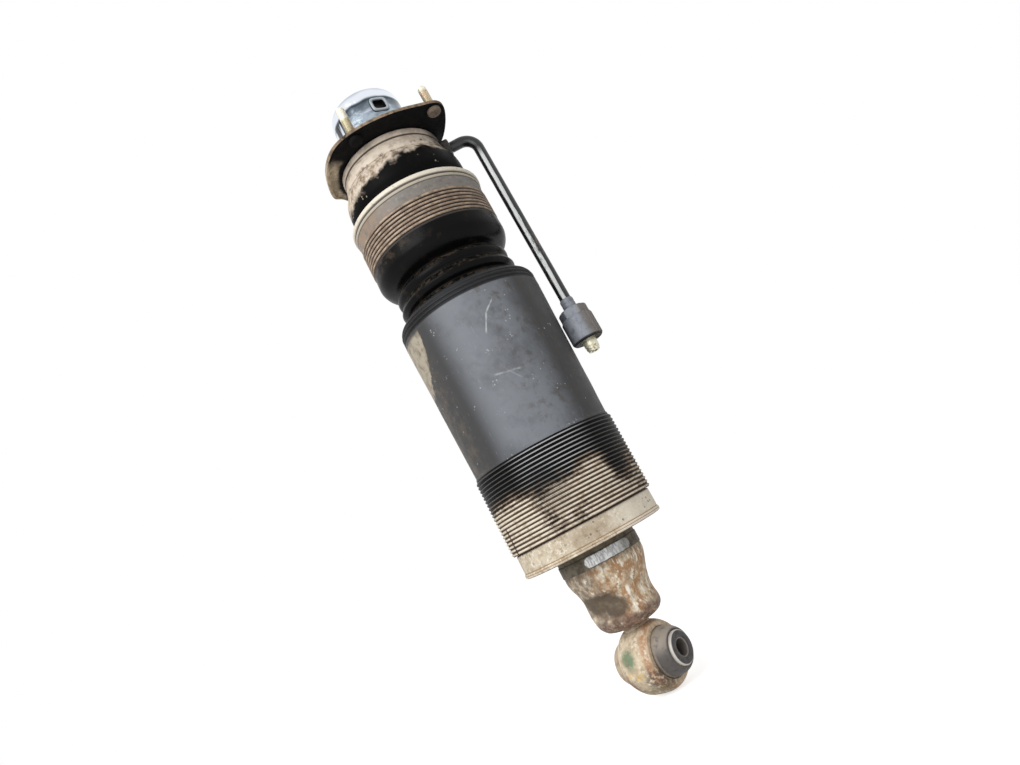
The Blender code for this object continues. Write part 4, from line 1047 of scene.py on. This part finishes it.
def build_housing(colours):
    """The housing, a turned ring with a groove and a slot for the port, and the flared boot below it."""
    radius = 50.0
    bore = 45.5
    high = top("mount_housing")
    foot = low("mount_housing")
    profile = rounded([(radius - 1, high), (radius, high - 1.2), (radius, -9.7), (radius - 1.5, -10.2),
                       (radius - 1.5, -11.1), (radius - 0.5, -11.7), (radius + 2, foot + 2),
                       (radius + 1.8, foot), (bore, foot), (bore, high)], 0.7, 4, True)
    points = turned(spaced(profile, 1.6, True), 160, lumps(0.16, 2))
    housing = surface("dusty_housing", points, housing_finish(colours), True)
    slot = clocked(moved(block((24.0, 17.0, 22.0), 12, 0.2), radius, 0, -20.1), CLOCK)
    cutter = surface("port_slot_cutter", slot, housing.data.materials[0], False)
    combine(housing, cutter, "DIFFERENCE")
    settle(housing, "mount", "mount_housing")
    outer = smooth_curve([(51.8, foot - 0.35), (53.8, -27), (56.6, -32), (58, -39), (58, -48), (56, -54),
                          (53.8, low("upper_boot"))], 48, False)
    wall = np.array([3.0, 0])
    loop = np.concatenate([outer, outer[::-1] - wall])
    boot = surface("flared_boot", turned(loop, 128, lumps(0.22, 5)), boot_finish(colours), True)
    settle(boot, "mount", "upper_boot")


def build_sleeve(sizes, colours):
    """The fixed sleeve: a rim, a thin line, a plain band and seven ribs, r = crest - d (half cosine)^3."""
    high = top("plunger_sleeve")
    crest = 63.4
    pitch = 3.5
    first_crest = -81.875
    rim = rounded([(60, high), (63.2, high), (64.6, high - 1.2), (64.6, high - 4.3), (62.4, high - 4.9),
                   (62.4, high - 5.9), (63.7, high - 6.5), (63.7, high - 7.9), (62.8, high - 8.9),
                   (62.8, -80.2), (crest, -81)], 0.5, 4)
    z = np.linspace(-81.2, -105.3, 150)
    wave = 0.5 - 0.5 * np.cos(2 * np.pi * (z - first_crest) / pitch)
    ribs = np.stack([crest - sizes.sleeve_rib / MM * wave ** 3, z], 1)
    foot = np.array([(62.4, -106.4), (60, -106.45), (60, -117), (58, -117), (58, -64.3), (44.4, -64.3),
                     (44.4, high)])
    loop = spaced(np.concatenate([rim, ribs, foot]), 3.0, True)
    sleeve = surface("ribbed_fixed_sleeve", turned(loop, 160, lumps(0.08, 1)), sleeve_finish(colours), True)
    settle(sleeve, "mount", "plunger_sleeve")


def build_bellows(sizes, colours):
    """The bellows: a smooth curve through its collar, folds and lip, turned with an even wall."""
    high = top("bellows")
    outer = smooth_curve([(63, high), (63.2, -116), (62.3, -120.5), (60, -124.8), (56, -128.3),
                          (51, -130.4), (49.2, -132.4), (52.2, -134.4), (54.6, -137.4), (54.4, -141),
                          (52.4, -144), (54.4, -147), (56.2, -150.6), (54.4, -154.4), (51.6, -157),
                          (53.6, -160), (56.2, -163), (56.4, -165.5), (56.4, low("bellows"))], 150, False)
    loop = np.concatenate([outer, outer[::-1] - np.array([sizes.fold_wall / MM, 0])])
    bellows = surface("folded_bellows", turned(loop, 128, lumps(0.12, 3)), bellows_finish(colours), True)
    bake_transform(bellows)
    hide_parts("bellows")


def build_cover(sizes, colours):
    """The tapered cover with three ridges round its shoulder."""
    high = top("dust_cover")
    foot = low("dust_cover")
    ridge = sizes.ridge / MM
    shoulder = [(58, high), (61.5, high - 0.6), (64, high - 2.6), (65.3, high - 4.8)]
    ridges = []
    for number in range(3):
        z = -169.4 - 3.3 * number
        ridges += [(65.6 - ridge, z + 1.0), (65.6 - ridge, z + 0.3), (65.9, z - 0.5), (65.9, z - 1.6)]
    wall = [(66.0, -179.6), (62.4, foot + 2.6), (63.1, foot + 1.8), (63.1, foot), (60.3, foot),
            (62.8, -178), (62.8, high - 3.1), (58, high - 3.1)]
    loop = rounded(shoulder + ridges + wall, 0.5, 4, True)
    cover = surface("scuffed_dust_cover", turned(spaced(loop, 4.0, True), 176, lumps(0.12, 4)),
                    cover_finish(colours), True)
    settle(cover, "plunger_body", "dust_cover")


def build_gaiter(sizes, colours):
    """The gaiter, r = crest - d (half cosine) with a notched seam, and the end ring with its flared lip."""
    high = top("ribbed_gaiter")
    foot = low("ribbed_gaiter")
    crest = 64.6
    depth = sizes.gaiter_rib / MM
    ribs = 21
    z = np.linspace(high, foot, ribs * 16 + 1)
    wave = 0.5 + 0.5 * np.cos(2 * np.pi * (z - high) * ribs / (high - foot))
    outer = np.stack([crest - depth * wave, z], 1)
    loop = np.concatenate([outer, [(60.4, foot), (60.4, high)]])
    bumps = lumps(0.10, 6)

    def seam(angle, r, z):
        outside = r > 61.5
        notch = 1.3 * bell(turn_from(angle, -112), 0.9) * (z < -358)
        return outside * (bumps(angle, r, z) - notch)

    gaiter = surface("ribbed_gaiter_rubber", turned(loop, 200, seam), gaiter_finish(crest), True)
    settle(gaiter, "plunger_body", "ribbed_gaiter")
    start = top("end_ring")
    end = low("end_ring")
    radius = 61.6
    profile = rounded([(radius - 0.8, start), (radius, start - 1.0), (radius, end + 4.7),
                       (radius - 0.35, end + 4.3), (radius + 0.5, end + 3.7), (radius + 0.9, end + 2.8),
                       (radius + 0.5, end + 2.2), (radius + 0.9, end + 1.6), (radius + 0.7, end + 0.5),
                       (radius - 0.3, end), (39.6, end), (39.6, end + 3), (59, end + 3), (59, start)],
                      0.35, 3, True)
    ring = surface("mottled_end_ring", turned(spaced(profile, 2.4, True), 176, lumps(0.10, 7)),
                   ring_finish(colours), True)
    settle(ring, "plunger_body", "end_ring")
    lip = [(42.5, end + 7), (42.5, end + 3.4), (39.2, end + 3.4), (39.2, end + 0.6), (37.8, end + 0.6),
           (37.0, end + 1.3), (36.3, end + 0.7), (36.3, end + 2.4), (36.8, end + 3.2), (36.4, end + 4.2),
           (37.2, end + 7)]
    wiper = surface("two_lip_wiper", turned(spaced(rounded(lip, 0.3, 3, True), 1.2, True), 144),
                    boot_finish(colours), True)
    settle(wiper, "plunger_body", "wiper_seal")


def build_casting(sizes, colours):
    """The casting, a smooth turned curve with lumps and a scooped hollow in front, and its thin band."""
    high = top("lower_casting")
    foot = low("lower_casting")
    waist = smooth_curve([(CASTING_R, -416), (34.8, -420), (33.4, -425), (30.6, -432.5), (28.2, -440),
                          (27, -446.5), (27.3, -452.5), (28, -458), (27.2, -462.5), (24, -466.3),
                          (19, -468.4), (13.4, foot)], 90, False)
    shaft = [(22.4, high), (CASTING_R - 1, high), (CASTING_R, high - 1)]
    closing = [(11.9, foot), (11.9, -456.6), (0, -456.6)]
    profile = np.concatenate([[(0, -451.4), (22.4, -451.4)], shaft, waist, closing])
    profile = spaced(profile, 2.0)
    bumps = lumps(sizes.cast_lumps / MM, 8)

    def dented(angle, r, z):
        outside = np.clip((r - 23.5) / 2, 0, 1) * np.clip((-421 - z) / 6, 0, 1)
        away = turn_from(angle, -68)
        scoop = bell(away, 27) * np.clip(1.6 - ((z + 446.5) / 9.5) ** 2, 0, 1)
        ridge = bell(turn_from(angle, -36), 9) * bell(z + 447, 9)
        flare = bell(turn_from(angle, -138), 34) * bell(z + 449, 10)
        return outside * (bumps(angle, r, z) - sizes.scoop / MM * scoop + 0.8 * ridge + 3.0 * flare)

    casting = surface("rusty_casting", turned(profile, 176, dented), casting_finish(colours), False)
    settle(casting, "damper_body", "lower_casting")
    upper, lower = top("band_clamp"), low("band_clamp")
    inside, outside = 35.33, 35.58
    loop = rounded([(inside, upper), (outside, upper - 0.4), (outside, lower + 0.4), (inside, lower)],
                   0.1, 3, True)
    band = surface("bare_metal_band", turned(spaced(loop, 1.5, True), 176), band_finish(colours), True)
    settle(band, "damper_body", "band_clamp")


def build_eye(sizes, colours):
    """The barrel eye with its neck, r = R - b |x / half|^3, its frustum bush and the bolt sleeve."""
    radius = 28.0
    half = 16.0
    x = np.linspace(half, -half, 44)
    barrel = np.stack([radius - 4.4 * np.abs(x / half) ** 3, x], 1)
    rim = np.concatenate([[(20.0, half), (22.6, half)], barrel, [(22.6, -half), (20.0, -half)]])
    loop = spaced(rounded(rim, 0.7, 3, True), 2.0, True)
    bumps = lumps(0.5 * sizes.cast_lumps / MM, 9)

    def forged(angle, r, z):
        return bumps(angle, r, z) * np.clip((r - 21) / 2, 0, 1)

    eye = surface("dusty_eye", to_eye(turned(loop, 160, forged)), eye_finish(colours), True)
    high = top("lower_eye")
    neck = [(0, high), (11.5, high), (11.5, EYE_Z + 26), (12.5, EYE_Z + 22.5), (0, EYE_Z + 22.5)]
    joined = surface("eye_neck", turned(spaced(np.array(neck), 2.0), 64), eye.data.materials[0], False)
    combine(eye, joined, "UNION")
    settle(eye, "damper_body", "lower_eye")
    end = reach("bush_rubber")
    lip = rounded([(19.65, 0), (19.65, half + 0.6), (19.2, half + 3), (17.6, half + 9), (15.6, end - 0.2),
                   (13.75, end), (13.75, 0)], 0.9, 4)
    outer = np.concatenate([lip, (lip * np.array([1, -1]))[::-1][1:-1]])
    bush = surface("frustum_bush", to_eye(turned(spaced(outer, 1.5, True), 120)), bush_finish(colours), True)
    settle(bush, "damper_body", "bush_rubber")
    end = reach("bush_sleeve")
    ring = [(13.4, end - 0.9), (12.6, end), (8.6, end), (8.2, end - 0.4), (6.9, end - 0.4),
            (6.4, end - 0.9)]
    other = [(r, -v) for r, v in reversed(ring)]
    loop = spaced(rounded(ring + other, 0.3, 3, True), 2.0, True)
    sleeve = surface("worn_bolt_sleeve", to_eye(turned(loop, 96)), bolt_sleeve_finish(), True)
    settle(sleeve, "bolt_sleeve", "bush_sleeve")


def build_pipe(sizes, colours):
    """The port block, the pipe carried round its bend, the ferrule, the fluted hexagon nut, the nipple."""
    port = clocked(moved(block((17.0, 15.6, 13.2), 7, 1.6), 49.0, 0, -16.4), CLOCK)
    port = surface("port_block", port, port_finish(), False)
    settle(port, "mount", "hydraulic_port")
    start_z = -17.0
    bend = 14.0
    turn = np.radians(np.linspace(90, 0, 24))
    arc = np.stack([PIPE_X - bend + bend * np.cos(turn), 0 * turn, start_z - bend + bend * np.sin(turn)], 1)
    straight = [(PIPE_X, 0, z) for z in np.linspace(-40, low("pressure_pipe"), 30)]
    path = np.concatenate([[(58.0, 0, start_z), (63.0, 0, start_z)], arc, straight])
    coat = swept(path, np.array([[0.0, 1.0, 0.0]]), 5.2, 40)
    pipe = surface("pressure_pipe_coat", clocked(coat, CLOCK), pipe_finish(colours), False)
    settle(pipe, "mount", "pressure_pipe")
    at = polar(PIPE_X, CLOCK)
    grey = nut_finish(colours)
    high, foot = top("pipe_ferrule"), low("pipe_ferrule")
    loop = rounded([(5.7, high), (6.2, high - 1.2), (6.2, high - 4), (5.95, high - 4.5), (6.2, high - 5),
                    (6.2, foot), (5.55, foot), (5.55, high)], 0.3, 4, True)
    ferrule = surface("crimped_ferrule", moved(turned(spaced(loop, 1.5, True), 48), *at), grey, True)
    settle(ferrule, "mount", "pipe_ferrule")
    high, foot = top("union_nut"), low("union_nut")
    radius = 14.6
    shoulder = -222.5
    seat = -236.5
    loop = rounded([(5.7, high), (12.4, high), (13.4, high - 1), (13.4, shoulder + 0.8), (13.7, shoulder),
                    (radius, shoulder - 1.5), (radius, foot + 2), (radius - 1.5, foot), (10.6, foot),
                    (10.6, seat), (5.7, seat)], 0.5, 4, True)
    flute = sizes.flute / MM
    flutes = 26
    half_across_flats = 11.6

    def faceted(angle, r, z):
        sixth = (angle + np.pi / 6) % (np.pi / 3) - np.pi / 6
        hexagon = np.minimum(0, half_across_flats / np.cos(sixth) - r)
        collar = (z > shoulder + 0.5) & (r > 11.0)
        body = (z < shoulder - 0.2) & (r > 12.6)
        side = np.clip(1.5 - np.abs(turn_from(angle, 30)) / 38, 0, 1)
        grooves = -flute * side * (0.5 + 0.5 * np.cos(flutes * angle)) ** 2
        return np.where(collar, hexagon, np.where(body, grooves, 0))

    nut = surface("fluted_union_nut", moved(turned(spaced(loop, 1.2, True), 240, faceted), *at), grey, True)
    settle(nut, "pipe_union", "union_nut")
    high, foot = top("pipe_nipple"), low("pipe_nipple")
    chain = rounded([(0, high), (9.6, high), (9.6, high - 3), (6.4, high - 6), (6.4, foot + 5.2),
                     (5.7, foot + 4.6), (6.2, foot + 3.6), (5, foot), (3, foot), (3, foot + 8.5),
                     (0, foot + 8.5)], 0.4, 4)
    nipple = surface("pale_nipple", moved(turned(spaced(chain, 1.0), 48, lumps(0.12, 11)), *at),
                     nipple_finish(colours), False)
    settle(nipple, "mount", "pipe_nipple")


def wound(share, low_z, high_z, turns, radius, wire):
    """A coil's wire along shares s of its helix, z = low + (high - low) (s - 0.35 sin(4 pi s) / 4 pi)."""
    turn = 2 * np.pi * turns * share + math.radians(CLOCK)
    eased = share - 0.35 * np.sin(4 * np.pi * share) / (4 * np.pi)
    outward = np.stack([np.cos(turn), np.sin(turn), np.zeros_like(turn)], 1)
    path = radius * outward
    path[:, 2] = low_z + (high_z - low_z) * eased
    return swept(path, outward, wire, 20)


def build_spring(colours):
    """The coil spring, built in two lengths that meet at a join."""
    wire = 6.0
    turns = 5.0
    radius = 50.0
    rings = 240
    join = 0.65
    gap = 2e-5
    low_z, high_z = low("coil_spring") + wire, top("coil_spring") - wire
    join_z = low_z + (high_z - low_z) * join
    finish = inner_finish("spring_powder_coat", colours.spring, 0.35, 0.0, "moulded")
    lengths = (("lower_spring_turns", 0.0, join - gap, "mount", "damper_body", join_z, low_z),
               ("upper_spring_turns", join + gap, 1.0, "mount", "plunger_body", join_z, high_z))
    for name, first, last, still, moving, start, end in lengths:
        share = np.linspace(first, last, int(rings * (last - first)))
        piece = surface(name, wound(share, low_z, high_z, turns, radius, wire), finish, False)
        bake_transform(piece)
        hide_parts("coil_spring")


def dress_inner(colours):
    """Gives each CAD node that still shows, all of them inside the strut, a finish for its slot."""
    slots = {entry["node"]: entry["material_slot"] for entry in frame["record"]["subparts"]}
    looks = {
        "ground_steel": ("ground_steel_parts", colours.steel, 0.22, 1.0, "turned"),
        "seal_rubber": ("moulded_seal_rubber", colours.black, 0.55, 0.0, "moulded"),
        "socket_plastic": ("guide_band_plastic", shade(70, 74, 78), 0.4, 0.0, "moulded"),
        "painted_steel": ("painted_spring_seat", colours.paint, 0.45, 0.0, "moulded"),
        "zinc_stud": ("plated_rod_nut", colours.zinc, 0.3, 0.8, "turned"),
    }
    made = {}
    for name, node in frame["nodes"].items():
        if node.hide_render:
            continue
        slot = slots[name]
        if slot not in made:
            made[slot] = inner_finish(*looks[slot])
        node.data.materials.clear()
        node.data.materials.append(made[slot])


def floor_finish():
    """A pale floor that reads white to the camera and to gloss, and keeps the strut's shadow."""
    glow_strength = 0.66
    made = bpy.data.materials.new("pale_floor")
    made.use_nodes = True
    tree = made.node_tree
    tree.nodes.clear()
    diffuse = tree.nodes.new("ShaderNodeBsdfDiffuse")
    diffuse.inputs["Color"].default_value = (0.8, 0.8, 0.8, 1)
    glow = tree.nodes.new("ShaderNodeEmission")
    ray = tree.nodes.new("ShaderNodeLightPath")
    seen = tree.nodes.new("ShaderNodeMath")
    seen.operation = "MAXIMUM"
    tree.links.new(ray.outputs["Is Camera Ray"], seen.inputs[0])
    tree.links.new(ray.outputs["Is Glossy Ray"], seen.inputs[1])
    strength = tree.nodes.new("ShaderNodeMath")
    strength.operation = "MULTIPLY"
    strength.inputs[1].default_value = glow_strength
    tree.links.new(seen.outputs[0], strength.inputs[0])
    tree.links.new(strength.outputs[0], glow.inputs["Strength"])
    both = tree.nodes.new("ShaderNodeAddShader")
    tree.links.new(diffuse.outputs[0], both.inputs[0])
    tree.links.new(glow.outputs[0], both.inputs[1])
    output = tree.nodes.new("ShaderNodeOutputMaterial")
    tree.links.new(both.outputs[0], output.inputs["Surface"])
    return made


def white_world(fill):
    """Even fill light, and plain white to the camera, to gloss and through glass."""
    world = bpy.data.worlds.new("white_studio")
    bpy.context.scene.world = world
    world.use_nodes = True
    tree = world.node_tree
    back = tree.nodes["Background"]
    back.inputs["Color"].default_value = (1, 1, 1, 1)
    ray = tree.nodes.new("ShaderNodeLightPath")
    seen = ray.outputs["Is Camera Ray"]
    for name in ("Is Glossy Ray", "Is Transmission Ray"):
        either = tree.nodes.new("ShaderNodeMath")
        either.operation = "MAXIMUM"
        tree.links.new(seen, either.inputs[0])
        tree.links.new(ray.outputs[name], either.inputs[1])
        seen = either.outputs[0]
    level = tree.nodes.new("ShaderNodeMapRange")
    level.inputs["To Min"].default_value = fill
    level.inputs["To Max"].default_value = 1.0
    tree.links.new(seen, level.inputs["Value"])
    tree.links.new(level.outputs[0], back.inputs["Strength"])


def lamp(name, at, target, size, power):
    """A soft square lamp aimed at a point."""
    data = bpy.data.lights.new(name, "AREA")
    data.size = size
    data.energy = power
    made = bpy.data.objects.new(name, data)
    made.location = at
    made.rotation_euler = (Vector(target) - Vector(at)).to_track_quat("-Z", "Y").to_euler()
    bpy.context.scene.collection.objects.link(made)


def build_stage():
    """The floor, the lamp, the white surroundings and the camera at the photograph's angle."""
    clearance = 0.0005
    ground = low("lower_eye") * MM - clearance
    wide = 30.0
    mesh = bpy.data.meshes.new("floor")
    corners = [(wide * x, wide * y, ground) for x, y in ((-1, -1), (1, -1), (1, 1), (-1, 1))]
    mesh.from_pydata(corners, [], [(0, 1, 2, 3)])
    mesh.materials.append(floor_finish())
    floor = bpy.data.objects.new("floor", mesh)
    bpy.context.scene.collection.objects.link(floor)
    white_world(fill=0.5)
    lamp("key_lamp", at=(0.2, -1.15, 0.3), target=(0, 0, -0.25), size=0.9, power=12.0)
    camera = bpy.data.objects.new("camera", bpy.data.cameras.new("camera"))
    camera.data.sensor_width = 36.0
    camera.data.lens = PHOTO_FOCAL / PHOTO_WIDTH * camera.data.sensor_width
    camera.data.clip_start = 0.01
    right, down = Vector(CAMERA_RIGHT).normalized(), Vector(CAMERA_DOWN).normalized()
    ahead = right.cross(down)
    turn = Matrix((right, -down, -ahead)).transposed().to_4x4()
    camera.matrix_world = Matrix.Translation(CAMERA_AT) @ turn
    bpy.context.scene.collection.objects.link(camera)
    bpy.context.scene.camera = camera
    bpy.context.scene.view_settings.view_transform = "Standard"


class STRUT_OT_plate(bpy.types.Operator):
    """Build the mounting plate with its folded edge"""

    bl_idname = "strut.plate"
    bl_label = "Mounting plate"
    bl_options = {"REGISTER", "UNDO"}

    def execute(self, context):
        """Builds the plate."""
        build_plate(context.scene.strut_sizes, context.scene.strut_colours)
        return {"FINISHED"}


class STRUT_OT_studs(bpy.types.Operator):
    """Build the three threaded studs"""

    bl_idname = "strut.studs"
    bl_label = "Studs"
    bl_options = {"REGISTER", "UNDO"}

    def execute(self, context):
        """Builds the studs."""
        build_studs(context.scene.strut_sizes, context.scene.strut_colours)
        return {"FINISHED"}


class STRUT_OT_cap(bpy.types.Operator):
    """Build the polished cap and its sensor socket"""

    bl_idname = "strut.cap"
    bl_label = "Cap and socket"
    bl_options = {"REGISTER", "UNDO"}

    def execute(self, context):
        """Builds the cap and the socket."""
        build_cap(context.scene.strut_sizes, context.scene.strut_colours)
        return {"FINISHED"}


class STRUT_OT_housing(bpy.types.Operator):
    """Build the dusty housing and its boot"""

    bl_idname = "strut.housing"
    bl_label = "Housing and boot"
    bl_options = {"REGISTER", "UNDO"}

    def execute(self, context):
        """Builds the housing and the boot."""
        build_housing(context.scene.strut_colours)
        return {"FINISHED"}


class STRUT_OT_sleeve(bpy.types.Operator):
    """Build the fixed sleeve and the bellows below it"""

    bl_idname = "strut.sleeve"
    bl_label = "Sleeve and bellows"
    bl_options = {"REGISTER", "UNDO"}

    def execute(self, context):
        """Builds the sleeve and the bellows."""
        build_sleeve(context.scene.strut_sizes, context.scene.strut_colours)
        build_bellows(context.scene.strut_sizes, context.scene.strut_colours)
        return {"FINISHED"}


class STRUT_OT_cover(bpy.types.Operator):
    """Build the dust cover, the ribbed gaiter and the end ring"""

    bl_idname = "strut.cover"
    bl_label = "Cover and gaiter"
    bl_options = {"REGISTER", "UNDO"}

    def execute(self, context):
        """Builds the cover, the gaiter and the end ring."""
        build_cover(context.scene.strut_sizes, context.scene.strut_colours)
        build_gaiter(context.scene.strut_sizes, context.scene.strut_colours)
        return {"FINISHED"}


class STRUT_OT_casting(bpy.types.Operator):
    """Build the rusty casting and its bare metal band"""

    bl_idname = "strut.casting"
    bl_label = "Casting"
    bl_options = {"REGISTER", "UNDO"}

    def execute(self, context):
        """Builds the casting and the band."""
        build_casting(context.scene.strut_sizes, context.scene.strut_colours)
        return {"FINISHED"}


class STRUT_OT_eye(bpy.types.Operator):
    """Build the lower eye, its bush and the bolt sleeve"""

    bl_idname = "strut.eye"
    bl_label = "Lower eye"
    bl_options = {"REGISTER", "UNDO"}

    def execute(self, context):
        """Builds the eye, the bush and the sleeve."""
        build_eye(context.scene.strut_sizes, context.scene.strut_colours)
        return {"FINISHED"}


class STRUT_OT_pipe(bpy.types.Operator):
    """Build the pressure pipe with its port, ferrule, nut and nipple"""

    bl_idname = "strut.pipe"
    bl_label = "Pressure pipe"
    bl_options = {"REGISTER", "UNDO"}

    def execute(self, context):
        """Builds the pipe and its fittings."""
        build_pipe(context.scene.strut_sizes, context.scene.strut_colours)
        return {"FINISHED"}


class STRUT_OT_spring(bpy.types.Operator):
    """Build the coil spring inside the cover"""

    bl_idname = "strut.spring"
    bl_label = "Coil spring"
    bl_options = {"REGISTER", "UNDO"}

    def execute(self, context):
        """Builds the coil spring."""
        build_spring(context.scene.strut_colours)
        return {"FINISHED"}


class STRUT_OT_inner(bpy.types.Operator):
    """Dress the pieces inside the strut"""

    bl_idname = "strut.inner"
    bl_label = "Inner pieces"
    bl_options = {"REGISTER", "UNDO"}

    def execute(self, context):
        """Builds the finishes of the inner pieces."""
        dress_inner(context.scene.strut_colours)
        return {"FINISHED"}


class STRUT_OT_stage(bpy.types.Operator):
    """Set the floor, the lamp and the camera"""

    bl_idname = "strut.stage"
    bl_label = "Stage"
    bl_options = {"REGISTER", "UNDO"}

    def execute(self, context):
        """Builds the stage."""
        build_stage()
        return {"FINISHED"}


OPERATORS = (STRUT_OT_plate, STRUT_OT_studs, STRUT_OT_cap, STRUT_OT_housing, STRUT_OT_sleeve,
             STRUT_OT_cover, STRUT_OT_casting, STRUT_OT_eye, STRUT_OT_pipe, STRUT_OT_spring,
             STRUT_OT_inner, STRUT_OT_stage)


class STRUT_PT_panel(bpy.types.Panel):
    """Lists the strut's operators, sizes and colours"""

    bl_idname = "STRUT_PT_panel"
    bl_label = "Rear strut"
    bl_space_type = "VIEW_3D"
    bl_region_type = "UI"
    bl_category = "Strut"

    def draw(self, context):
        """One button for each operator, then the values."""
        for operator in OPERATORS:
            self.layout.operator(operator.bl_idname)
        for group in (context.scene.strut_sizes, context.scene.strut_colours):
            box = self.layout.box()
            for name in group.__annotations__:
                box.prop(group, name)


CLASSES = (StrutSizes, StrutColours, *OPERATORS, STRUT_PT_panel)


def register():
    """Adds the classes and the values that they read."""
    for cls in CLASSES:
        bpy.utils.register_class(cls)
    bpy.types.Scene.strut_sizes = PointerProperty(type=StrutSizes)
    bpy.types.Scene.strut_colours = PointerProperty(type=StrutColours)


def unregister():
    """Removes the classes and the values again."""
    del bpy.types.Scene.strut_colours
    del bpy.types.Scene.strut_sizes
    for cls in reversed(CLASSES):
        bpy.utils.unregister_class(cls)


def main():
    """Registers the add-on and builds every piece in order."""
    register()
    for operator in OPERATORS:
        family, name = operator.bl_idname.split(".")
        getattr(getattr(bpy.ops, family), name)()


if __name__ == "__main__":
    main()
